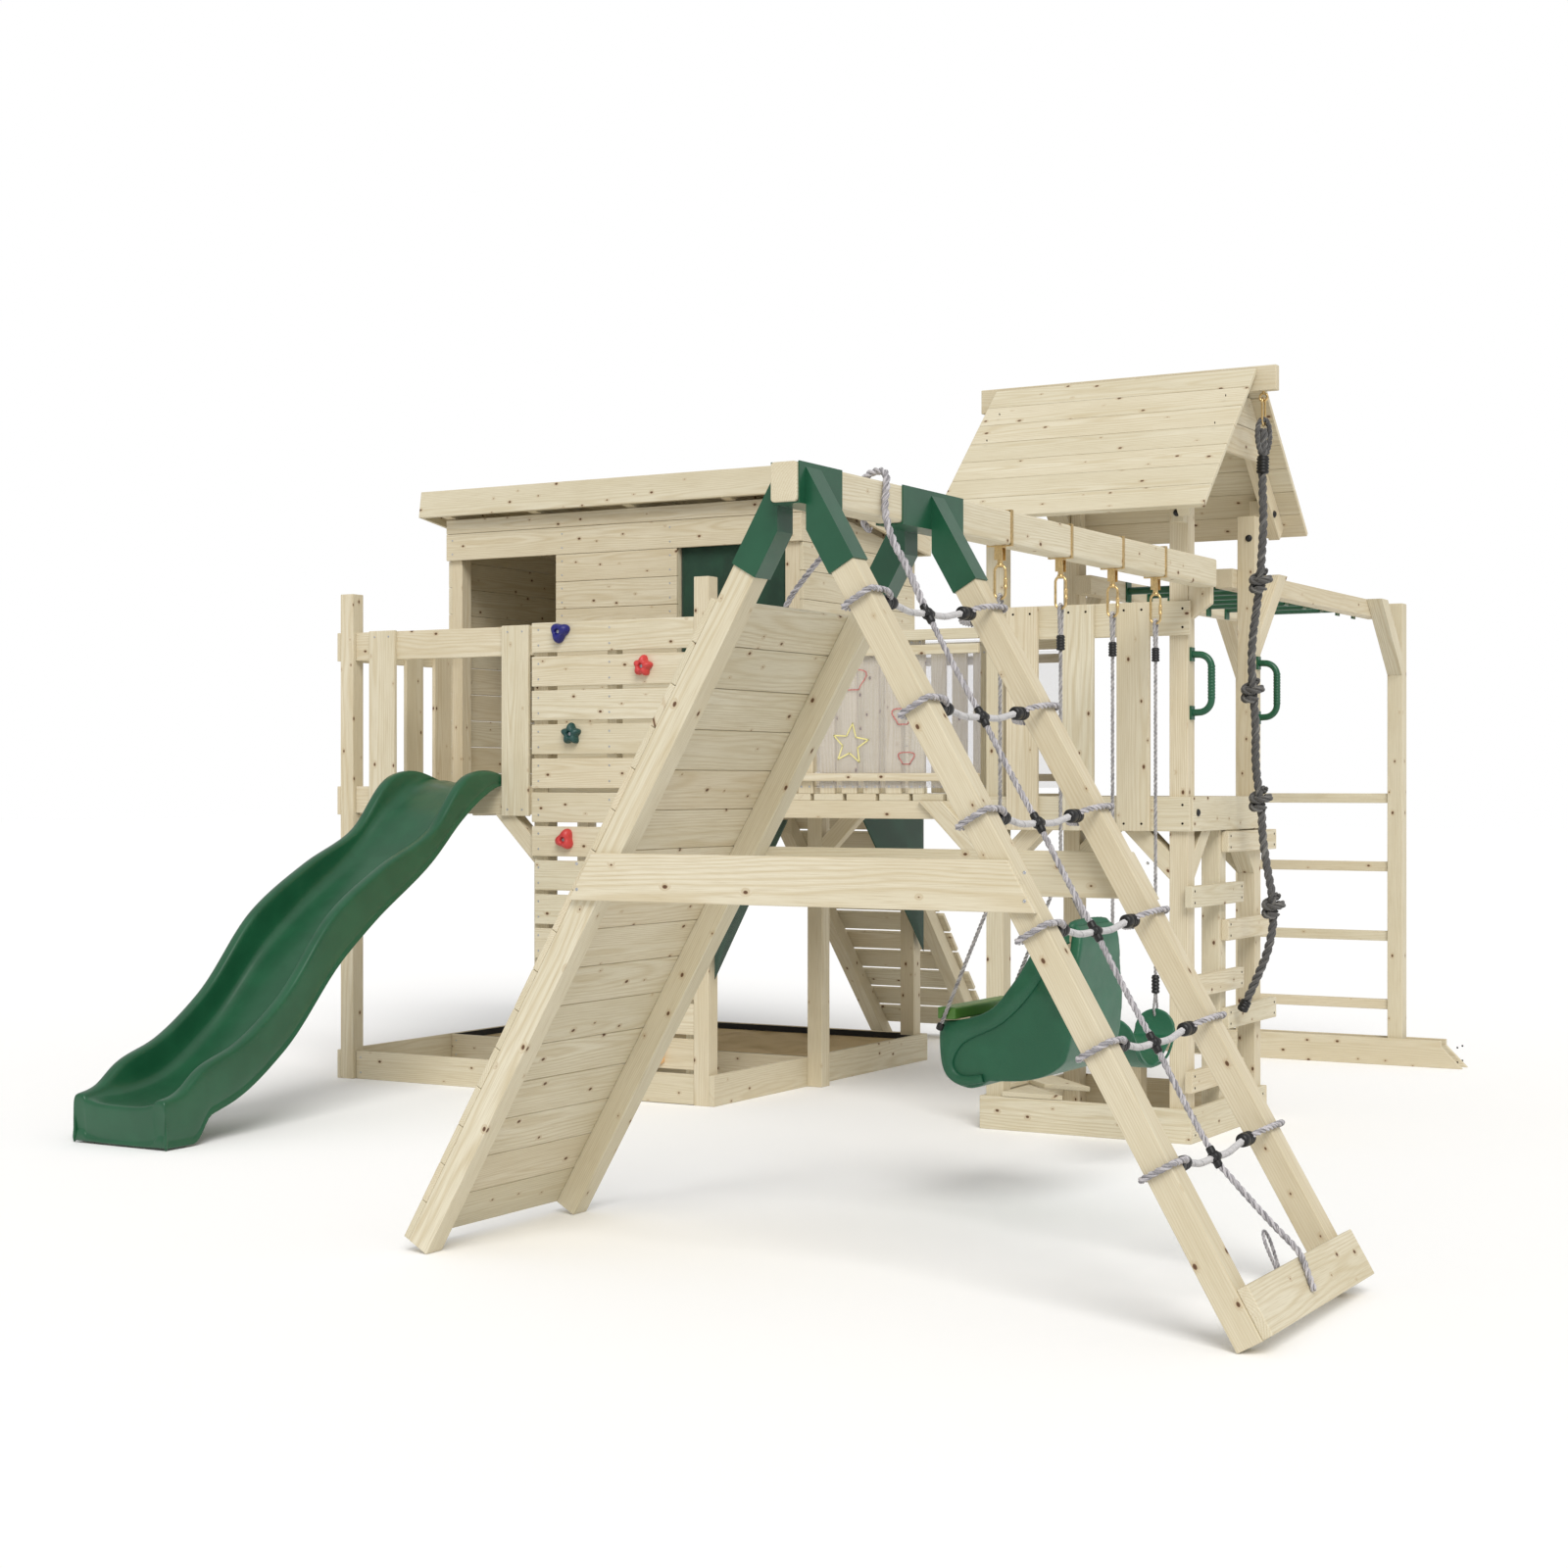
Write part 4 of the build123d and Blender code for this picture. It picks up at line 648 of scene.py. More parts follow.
def leg_loop(along, y, side):
    """The rope of a rung round one leg, from its connector and back."""
    near = y + (POST if side < 0 else 0)
    far = y + (0 if side < 0 else POST)
    reach = ROPE / 2 + 1.5
    start = (CONNECTOR[0] if side < 0 else CONNECTOR[1]) + side * CONNECTOR_LENGTH / 2
    outline = [(20, start - side * 14), (-4, start + side * 6), (-reach, near), (-reach, (near + far) / 2),
               (-reach - 2, far + side * 2), (-reach + 8, far + side * (reach + 6)),
               (POST / 2, far + side * (reach + 4)), (POST + reach - 8, far + side * (reach + 6)),
               (POST + reach + 2, far + side * 2), (POST + reach, (near + far) / 2),
               (POST + reach, near), (HALF_GRIP, start + side * 6), (48, start - side * 14)]
    return [(leg_point(1, along, out)[0], where, leg_point(1, along, out)[1]) for out, where in outline]


HALF_GRIP = POST - 4


def net_ropes():
    """The net's rungs, centre rope and black fittings."""
    rungs, sleeves, centre, fittings = Parts(), Parts(), Parts(), Parts()
    for along in RUNGS:
        for y, side in ((LEG_Y[0], -1), (LEG_Y[1], 1)):
            lay_rope(rungs, smooth_line(leg_loop(along, y, side)), ROPE * MM)
        left = CONNECTOR[0] + CONNECTOR_LENGTH / 2 - 4
        right = CONNECTOR[1] - CONNECTOR_LENGTH / 2 + 4
        for a, b in ((left, NET_Y - 8), (right, NET_Y + 8)):
            run = [net_point(along, a, 2), net_point(along, a + (b - a) * 0.25, 9),
                   net_point(along, a + (b - a) * 0.6, SAG + 5), net_point(along, b, SAG)]
            lay_rope(sleeves, smooth_line(run), (ROPE + 1) * MM, strands=4, lay=2.2)
        for y in CONNECTOR:
            x, _, z = net_point(along, y, 2)
            ridged = [(0, 10.0), (2, 15.0), (7, 17.2), (24, 18.0), (25, 16.8), (29, 16.8), (30, 18.0), (36, 18.0),
                      (37, 16.8), (41, 16.8), (42, 18.0), (60, 17.0), (67, 15.0), (70, 10.0)]
            lathe(fittings, ridged, (x, y - 35, z), (x, y + 35, z))
        cross_clip(fittings, Vector(net_point(along, NET_Y, SAG)))
    for a, b in zip(RUNGS, RUNGS[1:]):
        x0, y0, z0 = net_point(a + 12, NET_Y, SAG)
        x1, y1, z1 = net_point(b - 12, NET_Y, SAG)
        run = [(x0, y0, z0), (x0 * 0.7 + x1 * 0.3, y0 + 5, z0 * 0.7 + z1 * 0.3 - 9),
               (x0 * 0.35 + x1 * 0.65, y0 + 6, z0 * 0.35 + z1 * 0.65 - 9), (x1, y1, z1)]
        lay_rope(centre, smooth_line(run), ROPE * MM)
    lay_rope(centre, smooth_line(beam_loop()), 21 * MM)
    lay_rope(centre, smooth_line(foot_tie()), ROPE * MM)
    lay_rope(centre, smooth_line(thimble_eye()), 9 * MM)
    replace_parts(rungs.piece("net_rung_loops", NET_ROPE, "root", "rope", "yarn"), "net_rungs")
    sleeves.piece("net_rung_grips", WHITE_ROPE, "root", "rope", "yarn")
    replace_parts(centre.piece("net_centre_line", NET_ROPE, "root", "rope", "yarn"), "net_centre_rope")
    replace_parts(fittings.piece("net_clips", BLACK, "root", "black_plastic"), "net_fittings")


def cross_clip(parts, at):
    """A moulded X-shaped clip where the centre rope crosses a rung."""
    up = Vector((-sin(LEAN), 0, cos(LEAN)))
    over = Vector((0, 1, 0))
    collar = [(0, 8.0), (1.5, 9.8), (6, 10.4), (12, 10.4), (22, 10.8), (32, 10.8), (42, 10.4), (48, 10.4),
              (52.5, 9.8), (54, 8.0)]
    for way in (up, over):
        lathe(parts, collar, at - way * 27, at + way * 27, segments=16)
    out = Vector((cos(LEAN), 0, sin(LEAN)))
    boss = [(0, 8), (3, 12), (9, 14), (14, 15), (19, 14), (25, 12), (28, 8)]
    lathe(parts, boss, at - out * 14, at + out * 14, segments=20)


def beam_loop():
    """The centre rope's top end, in front of the beam, over it and down behind."""
    right, left = BEAM_X + 48, BEAM_X - 48
    return [net_point(RUNGS[-1] + 12, NET_Y, SAG), (232, -2551, 1790), (178, -2545, 1870), (right, -2535, 1950),
            (right, -2520, 2010), (right - 8, -2505, 2052), (BEAM_X, -2490, 2058), (left + 8, -2478, 2046),
            (left, -2470, 2000), (left, -2466, 1940), (left + 12, -2474, 1912), (BEAM_X - 18, -2484, 1908)]


def foot_tie():
    """The centre rope's lower end, through its eye and over the foot board."""
    board = ((300, 52, -2556), (200, 80, -2554), (136, 105, -2560), (104, 106, -2568), (72, 105, -2580),
             (40, 104.5, -2592))
    route = [net_point(RUNGS[0] - 12, NET_Y, SAG)]
    for along, out, y in board:
        x, z = leg_point(1, along, out)
        route.append((x, y, z))
    return route


def thimble_eye():
    """The pale eye that the foot tie runs through."""
    x, z = leg_point(1, 122, 30)
    out, up = Vector((cos(LEAN), 0, sin(LEAN))), Vector((-sin(LEAN), 0, cos(LEAN)))
    base = Vector((x, -2540, z))
    shape = ((-2, -9), (36, -17), (72, -18), (92, 0), (72, 18), (36, 17), (-2, 9))
    return [base + up * a + Vector((0, 1, 0)) * b + out * (0.15 * a) for a, b in shape]


net_ropes()

# ---------------------------------------------------------------- the ramp's pull rope
PULL_ROPE = 16.0
RAMP_OUT = POST + 18 + PULL_ROPE / 2 + 3


def on_ramp(along, y, lift=0.0):
    """A point above the outer face of the ramp's boards."""
    x, z = leg_point(-1, along, RAMP_OUT + lift)
    return (x, y, z)


RAMP_ROPE = [(52, -2540, 1908), (22, -2538, 1884), (-16, -2536, 1852), (-56, -2533, 1816), (-95, -2530, 1776),
             on_ramp(1948, -2528, 2), on_ramp(1884, -2526, 1), on_ramp(1800, -2516), on_ramp(1690, -2518, 1),
             on_ramp(1560, -2540), on_ramp(1410, -2566, 1), on_ramp(1260, -2560), on_ramp(1110, -2532, 1),
             on_ramp(960, -2512), on_ramp(810, -2526, 1), on_ramp(680, -2552), on_ramp(560, -2560)]


def free_rope(name, node, route, diameter, finish, slot, lay):
    """A free rope's strands along its route, standing for its CAD node; returns it and its line."""
    line = smooth_line(route)
    parts = Parts()
    lay_rope(parts, line, diameter * MM, lay=lay)
    piece = parts.piece(name, finish, BODY[node], slot, "yarn")
    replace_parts(piece, node)
    return piece, [tuple(p) for p in line]


ramp_line, ramp_path = free_rope("ramp_pull_rope", "ramp_rope", RAMP_ROPE, PULL_ROPE, NET_ROPE, "rope", 3.4)

# ---------------------------------------------------------------- climbing rope with knots
LIMB = 32.0
CLIMB_ROUTE = [(176, 353, 2524), (174, 353, 2440), (171, 352, 2330), (176, 355, 2200), (170, 352, 2080),
               (163, 354, 1990), (150, 352, 1880), (133, 354, 1770), (131, 352, 1660), (138, 354, 1570),
               (148, 351, 1450), (144, 354, 1340), (154, 352, 1250), (168, 354, 1170), (172, 351, 1060),
               (188, 354, 950), (209, 352, 850), (214, 354, 765), (196, 351, 660), (154, 354, 560),
               (112, 352, 470)]
KNOTS = [(166, 353, 1977), (136, 353, 1584), (166, 353, 1194), (213, 353, 812)]


def knot_turns(at):
    """Two slanted turns of rope round the main line, pulled into a hump."""
    route = []
    for n in range(17):
        turn = 2 * pi * n / 8
        reach = 33 if 1 < n < 15 else 14
        tilt = 13 * sin(turn + 0.6)
        route.append((at[0] + reach * cos(turn), at[1] + reach * 0.8 * sin(turn), at[2] + 30 - n * 3.7 + tilt))
    return route


def climbing_rope():
    """The rope, its knots, its top loop and its ridged end sleeves."""
    rope, path = free_rope("climbing_line", "climbing_rope", CLIMB_ROUTE, LIMB, CLIMB_ROPE, "dark_rope", 3.0)
    knots = Parts()
    for at in KNOTS:
        lay_rope(knots, smooth_line(knot_turns(at)), 29 * MM, lay=3.0)
    knotted = knots.piece("climbing_rope_knots", CLIMB_ROPE, "hanging_rope", "dark_rope", "yarn")
    loop = Parts()
    top = [(170, 340, 2432), (164, 326, 2466), (163, 320, 2505), (166, 330, 2545), (176, 353, 2562),
           (186, 376, 2545), (189, 386, 2505), (188, 380, 2466), (182, 366, 2432)]
    lay_rope(loop, smooth_line(top), 20 * MM, lay=3.0)
    eye = loop.piece("climbing_rope_eye", CLIMB_ROPE, "hanging_rope", "dark_rope", "yarn")
    sleeve = Parts()
    ridges = [(0, 17.0), (2, 20.0)]
    for n in range(5):
        ridges += [(6 + n * 11, 22.5), (11 + n * 11, 22.5), (12.5 + n * 11, 19.0), (14.5 + n * 11, 19.0)]
    ridges += [(62, 21.5), (64, 17.0)]
    lathe(sleeve, ridges, (172, 352.5, 2362), (174, 353, 2430))
    top_sleeve = sleeve.piece("climbing_rope_sleeve", BLACK, "hanging_rope", "black_plastic")
    end = Parts()
    low, before = Vector(CLIMB_ROUTE[-1]), Vector(CLIMB_ROUTE[-2])
    way = (low - before).normalized()
    cap = [(0, 16.0), (2, 19.5), (8, 20.0), (9, 18.0), (12, 18.0), (13, 20.0), (20, 20.0), (21, 18.0), (24, 18.0),
           (25, 20.0), (38, 19.5), (42, 14.0)]
    lathe(end, cap, low - way * 1.0, low + way * 41)
    cap_piece = end.piece("climbing_rope_end_cap", BLACK, "hanging_rope", "black_plastic")
    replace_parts(cap_piece, "climbing_rope_ferrules")


climbing_rope()

# ---------------------------------------------------------------- swings
BABY_Y = (-1728.0, -1296.0)
BELT_Y = (-886.0, -516.0)
CORD = 12.0
CLIP_Z = (1652.0, 1698.0)
BELT_CLIP = (562.0, 622.0)
BELT_TOP = 512.0
SPLIT_Z = 985.0
BAR = Vector((-70.0, 0, 590.0))
REAR = (292.0, 628.0)
ADJUSTER = [(0, 9.0), (1, 12.0)]
for ridge in range(5):
    ADJUSTER += [(3 + ridge * 8.6, 13.2), (7 + ridge * 8.6, 13.2), (8 + ridge * 8.6, 11.2), (10.4 + ridge * 8.6, 11.2)]
ADJUSTER += [(45, 12.0), (46, 9.0)]


def hook_loop(y):
    """The doubled rope above an adjuster, through its spring hook."""
    return [(BEAM_X, y - 6, 1690), (BEAM_X, y - 7, 1720), (BEAM_X, y - 10, 1752), (BEAM_X, y - 12, 1776),
            (BEAM_X, y - 5, 1790), (BEAM_X, y + 5, 1790), (BEAM_X, y + 12, 1776), (BEAM_X, y + 10, 1752),
            (BEAM_X, y + 7, 1720), (BEAM_X, y + 6, 1690)]


def straight(parts, a, b, diameter=CORD):
    """A taut rope between two points in millimetres."""
    lay_rope(parts, np.array([a, b], float) * MM, diameter * MM)


def gate(parts, y):
    """The spring gate's sleeve on a hook."""
    lathe(parts, [(0, 4.4), (1, 6.0), (6, 6.2), (7, 5.6), (24, 5.6), (25, 6.2), (30, 6.0), (31, 4.4)],
          (BEAM_X + 17, y, 1806), (BEAM_X + 17, y, 1837), segments=14)
    lathe(parts, [(0, 8), (1.5, 10.5), (6, 11), (10.5, 10.5), (12, 8)], (BEAM_X, y, 1868), (BEAM_X, y, 1880))


def belt_swing():
    """Ropes, adjusters and hooks of the belt swing."""
    ropes, clips, gates = Parts(), Parts(), Parts()
    for y in BELT_Y:
        lay_rope(ropes, smooth_line(hook_loop(y)), CORD * MM)
        straight(ropes, (BEAM_X, y, BELT_CLIP[1] - 6), (BEAM_X, y, CLIP_Z[0] + 6))
        low = [(BEAM_X, y - 5, 568), (BEAM_X, y - 6, 545), (BEAM_X - 3, y - 9, 520), (BEAM_X, y - 11, 496),
               (BEAM_X, y, 484), (BEAM_X, y + 11, 496), (BEAM_X + 3, y + 9, 520), (BEAM_X, y + 6, 545),
               (BEAM_X, y + 5, 568)]
        lay_rope(ropes, smooth_line(low), 9 * MM)
        lathe(clips, ADJUSTER, (BEAM_X, y, CLIP_Z[0]), (BEAM_X, y, CLIP_Z[1]))
        longer = [(a * 60 / 46, r) for a, r in ADJUSTER]
        lathe(clips, longer, (BEAM_X, y, BELT_CLIP[0]), (BEAM_X, y, BELT_CLIP[1]))
        gate(gates, y)
    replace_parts(ropes.piece("belt_swing_ropes", SWING_ROPE, "belt_swing", "rope", "yarn"), "belt_ropes")
    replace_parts(clips.piece("belt_adjusters", BLACK, "belt_swing", "black_plastic"), "belt_rope_clips")
    gates.piece("belt_hook_gates", GOLD, "belt_swing", "gold_steel")


def baby_swing():
    """Ropes, adjusters and hooks of the baby swing."""
    ropes, clips, gates = Parts(), Parts(), Parts()
    pull = (Vector((BEAM_X, 0, SPLIT_Z)) - BAR).normalized()
    for y in BABY_Y:
        split, grip = Vector((BEAM_X, y, SPLIT_Z)), BAR + Vector((0, y, 0))
        lay_rope(ropes, smooth_line(hook_loop(y)), CORD * MM)
        straight(ropes, (BEAM_X, y, SPLIT_Z + 16), (BEAM_X, y, CLIP_Z[0] + 6))
        straight(ropes, split - pull * 14, grip - pull * 38)
        inward = 1 if y < -1500 else -1
        rear = Vector((REAR[0], y, REAR[1]))
        run = [split + (rear - split).normalized() * 14, split * 0.55 + rear * 0.45, split * 0.2 + rear * 0.8, rear,
               rear + Vector((4, inward * 18, -12)), rear + Vector((0, inward * 34, -14))]
        lay_rope(ropes, smooth_line(run), CORD * MM)
        lathe(clips, ADJUSTER, (BEAM_X, y, CLIP_Z[0]), (BEAM_X, y, CLIP_Z[1]))
        ring = [(0, 9), (2, 14), (8, 15.5), (20, 16), (34, 15.5), (40, 14), (42, 9)]
        lathe(clips, ring, split + Vector((0, 0, -20)), split + Vector((0, 0, 22)))
        lathe(clips, [(0, 6), (2, 10), (11, 11), (20, 10), (22, 6)], grip - pull * 34, grip - pull * 56)
        gate(gates, y)
    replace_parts(ropes.piece("baby_swing_ropes", SWING_ROPE, "baby_swing", "rope", "yarn"), "baby_ropes")
    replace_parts(clips.piece("baby_adjusters", BLACK, "baby_swing", "black_plastic"), "baby_rope_clips")
    gates.piece("baby_hook_gates", GOLD, "baby_swing", "gold_steel")


belt_swing()
baby_swing()


def moulded(node, name, finish, voxel, rounds):
    """A copy of a CAD solid with the soft, rounded edges of a moulding."""
    mesh = NODES[node].data.copy()
    piece = show(name, mesh, finish, BODY[node])
    cells = piece.modifiers.new("cells", "REMESH")
    cells.mode = "VOXEL"
    cells.voxel_size = voxel
    cells.use_smooth_shade = True
    ease = piece.modifiers.new("ease", "SMOOTH")
    ease.factor = 0.5
    ease.iterations = rounds
    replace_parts(piece, node)
    return piece


moulded("baby_seat", "baby_seat_shell", SEAT_GREEN, 0.006, 10)
moulded("baby_t_bar", "baby_seat_t_bar", LIGHT_GREEN, 0.004, 6)
moulded("belt_seat", "belt_seat_strap", SEAT_GREEN, 0.0035, 3)


def seat_rims():
    """The flat flange down each side of the baby seat, the roll over its back and the belt's edges."""
    rim = Parts()
    outer = [(286, 840), (250, 842), (208, 820), (174, 752), (138, 682), (74, 598), (-20, 564), (-94, 560),
             (-97, 480), (-88, 420), (-60, 390), (-20, 378), (40, 394)]
    inner = [(290, 800), (266, 790), (240, 752), (212, 690), (168, 626), (92, 556), (20, 526), (-30, 500),
             (-54, 462), (-60, 438), (-48, 416), (-18, 404), (34, 416)]
    edge_line, inner_line = (smooth_line([(x, 0, z) for x, z in line]) / MM for line in (outer, inner))
    count = 60
    for y, out in ((-1700, -1), (-1324, 1)):
        rows = []
        for n in range(count):
            a = edge_line[round(n * (len(edge_line) - 1) / (count - 1))]
            b = inner_line[round(n * (len(inner_line) - 1) / (count - 1))]
            for share, lift in ((-0.06, -6), (-0.1, 5), (0.0, 11), (0.5, 12), (0.94, 10), (1.0, 4), (1.0, -6)):
                x, z = a[0] + (b[0] - a[0]) * share, a[2] + (b[2] - a[2]) * share
                tuck = max(0.0, z - 650) * 66 / 230
                rows.append(Vector((x, y + out * (lift - tuck), z)) * MM)
        faces = [(i * 7 + k, i * 7 + k + 1, (i + 1) * 7 + k + 1, (i + 1) * 7 + k)
                 for i in range(count - 1) for k in range(6)]
        rim.add(rows, faces)
    back = [(286, -1648, 838), (284, -1630, 846), (282, -1560, 849), (282, -1464, 849), (284, -1394, 846),
            (286, -1376, 838)]
    lay_rope(rim, smooth_line(back), 30 * MM, strands=1, sides=12, lay=8)
    rim.piece("baby_seat_rim", SEAT_GREEN, "baby_swing", "green_plastic")
    edge = Parts()
    for x in (34, 170):
        arc = [(x, -878, 436), (x, -848, 386), (x, -790, 355), (x, -701, 345), (x, -612, 355), (x, -554, 386),
               (x, -524, 436)]
        lay_rope(edge, smooth_line(arc), 9 * MM, strands=1, sides=10, lay=8)
    edge.piece("belt_seat_edges", SEAT_GREEN, "belt_swing", "green_plastic")


seat_rims()

# ---------------------------------------------------------------- wave slide
SLIDE_MID, SLIDE_HALF = -3128.5, 217.5
RIM_LINE = [(60, 1262), (-20, 1290), (-110, 1306), (-231, 1290), (-482, 1067), (-758, 945), (-1054, 776),
            (-1350, 475), (-1568, 334), (-1762, 262), (-1862, 190), (-1960, 170)]
BED_LINE = [(60, 1256), (-60, 1250), (-160, 1225), (-290, 1150), (-482, 985), (-846, 757), (-1020, 635),
            (-1350, 330), (-1600, 182), (-1800, 146), (-1955, 142)]
UNDER_LINE = [(60, 1241), (-50, 1241), (-170, 1190), (-290, 1111), (-482, 949), (-846, 721), (-1020, 595),
              (-1350, 281), (-1600, 135), (-1700, 104), (-1748, 90)]
GROUND = 7.0                   # lowest point of the foot's middle skin
HEEL = (-1748.0, -1772.0)      # the foot block's back face, where the underside drops to the ground


def curve_through(points, count=160):
    """A smooth curve through points of a plane."""
    points = np.array(points, float)
    at = np.concatenate([[0], np.cumsum(np.linalg.norm(np.diff(points, axis=0), axis=1))])
    slopes = np.gradient(points, at, axis=0)
    found = []
    for s in np.linspace(0, at[-1], count):
        i = min(max(int(np.searchsorted(at, s)) - 1, 0), len(at) - 2)
        h = at[i + 1] - at[i]
        t = (s - at[i]) / h
        found.append((2 * t ** 3 - 3 * t ** 2 + 1) * points[i] + (t ** 3 - 2 * t ** 2 + t) * h * slopes[i]
                     + (-2 * t ** 3 + 3 * t ** 2) * points[i + 1] + (t ** 3 - t ** 2) * h * slopes[i + 1])
    return np.array(found)


def slide_section(bed, rim, under):
    """Half of the slide's section, from the middle of the bed to the lower edge of the side wall."""
    tall = max(rim - bed, 6.0)
    low = min(under, rim - 30)
    seam = low + min(26, (rim - 28 - low) * 0.4)
    return [(0, bed), (60, bed + 0.5), (112, bed + 3), (142, bed + 12), (158, bed + min(34, tall * 0.4)),
            (164, bed + tall * 0.62), (167, rim - min(14, tall * 0.2)), (173, rim - 3), (183, rim), (200, rim - 0.5),
            (210, rim - 5), (214, rim - 14), (215, rim - 28), (215.2, (rim + low) / 2), (215.4, seam + 7),
            (211.5, seam), (215.4, seam - 7), (215.6, low + 8), (216.8, low + 5), (216.8, low)]


def slide_shell():
    """The slide as one moulded sheet with rolled rims, deep side walls and a closed foot."""
    bed_line, rim_line, under_line = (curve_through(line) for line in (BED_LINE, RIM_LINE, UNDER_LINE))
    rows = []
    for y, bed in bed_line[::2]:
        rim = np.interp(-y, -rim_line[:, 0], rim_line[:, 1])
        under = np.interp(-y, -under_line[:, 0], under_line[:, 1])
        drop = np.clip((HEEL[0] - y) / (HEEL[0] - HEEL[1]), 0, 1)
        under = under * (1 - drop) + GROUND * drop
        half = slide_section(bed, rim, under)
        rows.append([(SLIDE_MID - x, y, z) for x, z in reversed(half[1:])] + [(SLIDE_MID + x, y, z) for x, z in half])
    last = rows[-1]
    for drop, forward in ((5, 4), (16, 6), (60, 3), (115, -4), (126, -5), (129, 2), (400, 3)):
        rows.append([(x, y - forward, max(z - drop, GROUND)) for x, y, z in last])
    points = [Vector(p) * MM for row in rows for p in row]
    wide = len(rows[0])
    faces = [(i * wide + k, i * wide + k + 1, (i + 1) * wide + k + 1, (i + 1) * wide + k)
             for i in range(len(rows) - 1) for k in range(wide - 1)]
    parts = Parts()
    parts.add(points, faces)
    piece = parts.piece("slide_shell", SLIDE_GREEN, "root", "green_plastic")
    skin = piece.modifiers.new("skin", "SOLIDIFY")
    skin.thickness = 0.006
    skin.offset = 1.0
    finer = piece.modifiers.new("finer", "SUBSURF")
    finer.levels = 1
    finer.render_levels = 1
    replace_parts(piece, "slide")
    return piece


slide_shell()

# ---------------------------------------------------------------- climbing holds
HOLDS = {"hold_blue": [(-2612, 1861, 3, 20)], "holds_red": [(-2212, 1713, 5, 10), (-2585, 1026, 3, 70)],
         "hold_teal": [(-2554, 1450, 5, 18)], "hold_peach": [(-2148, 189, 4, 40)]}
WALL_FACE = -47.0


def climbing_holds():
    """Lobed resin holds with a recessed bolt."""
    bolts = Parts()
    dome = [(1.0, 0.0), (1.04, 0.12), (1.05, 0.3), (1.0, 0.52), (0.9, 0.74), (0.74, 0.9), (0.56, 0.97), (0.4, 0.96),
            (0.3, 0.86), (0.26, 0.7), (0.24, 0.55), (0.1, 0.52)]
    for node, spots in HOLDS.items():
        parts = Parts()
        for x, z, lobes, turn in spots:
            lots = random.Random(node + str(x))
            swell = [lots.uniform(0.9, 1.08) for _ in range(lobes)]
            points, sides = [], 40
            for share, height in dome:
                for k in range(sides):
                    angle = 2 * pi * k / sides
                    near = swell[int(((angle - radians(turn)) / (2 * pi) * lobes + 0.5) % lobes)]
                    wave = cos(lobes * (angle - radians(turn)))
                    depth = 0.17 * min(1, share)
                    reach = 42 * share * (0.86 + depth * wave) * (1 + (near - 1) * 0.5 * (1 + wave))
                    lift = 38 * height * (1 + 0.05 * wave)
                    points.append(Vector((x + reach * cos(angle), WALL_FACE - min(lift, 40), z + reach * sin(angle))) * MM)
            faces = [(i * sides + k, i * sides + (k + 1) % sides, (i + 1) * sides + (k + 1) % sides,
                      (i + 1) * sides + k) for i in range(len(dome) - 1) for k in range(sides)]
            faces.append(tuple(range(sides)))
            faces.append(tuple(reversed([(len(dome) - 1) * sides + k for k in range(sides)])))
            parts.add(points, faces)
            lathe(bolts, [(0, 7.5), (5, 7.5), (6, 6.8), (6, 3.6), (3, 3.2)], (x, WALL_FACE - 18, z),
                  (x, WALL_FACE - 24, z), segments=6)
        slot = SLOT[node]
        piece = parts.piece(node + "_grip", HOLD_COLOURS[slot], "root", slot)
        finer = piece.modifiers.new("finer", "SUBSURF")
        finer.levels = 1
        finer.render_levels = 1
        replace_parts(piece, node)
    bolts.piece("hold_bolts", ZINC, "root", "gold_steel", smooth=False)


climbing_holds()


# ---------------------------------------------------------------- canvas
def canvas_sheet(name, corners, billow, fold=0.0):
    """A sheet between three or four corners in millimetres, bellied out along billow."""
    across, down = 36, 30
    corners = [Vector(c) for c in corners]
    if len(corners) == 3:
        corners.append(corners[2])
    width, height = (corners[1] - corners[0]).length, (corners[3] - corners[0]).length
    points, stored, faces = [], [], []
    for j in range(down + 1):
        v = j / down
        for i in range(across + 1):
            u = i / across
            at = (corners[0] * (1 - u) + corners[1] * u) * (1 - v) + (corners[3] * (1 - u) + corners[2] * u) * v
            belly = sin(pi * u) * sin(pi * v)
            crease = fold * sin(u * 2 * pi * 5.5 + 0.8 * sin(3 * v)) * (0.25 + 0.75 * v)
            at = at + Vector(billow) * belly + Vector(billow).normalized() * crease
            points.append(at * MM)
            stored.append((u * width * MM, v * height * MM, 0))
    for j in range(down):
        for i in range(across):
            a = j * (across + 1) + i
            faces.append((a, a + 1, a + across + 2, a + across + 1))
    parts = Parts()
    parts.add(points, faces, stored)
    piece = parts.piece(name, CANVAS, "root", "canvas", "weave")
    bm = bmesh.new()
    bm.from_mesh(piece.data)
    bmesh.ops.remove_doubles(bm, verts=bm.verts, dist=0.0002)
    bm.to_mesh(piece.data)
    bm.free()
    skin = piece.modifiers.new("skin", "SOLIDIFY")
    skin.thickness = 0.0016
    skin.offset = 0
    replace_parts(piece, "canvas_flaps")


WINDOW = (-2544.0, -2019.0)
canvas_sheet("window_curtain", [(WINDOW[0] + 4, 744, 2316), (WINDOW[1] - 4, 744, 2316), (WINDOW[1] - 6, 744, 1742),
                                (WINDOW[0] + 6, 744, 1742)], (0, 3, 0), fold=2.2)
FLAP_X = -1888.0
canvas_sheet("front_corner_flap", [(FLAP_X, -45, 1105), (FLAP_X, 524, 1105), (FLAP_X, -45, 494)], (6, 0, 0))
canvas_sheet("back_corner_flap", [(FLAP_X, 1753, 1105), (FLAP_X, 1160, 1105), (FLAP_X, 1753, 494)], (6, 0, 0))


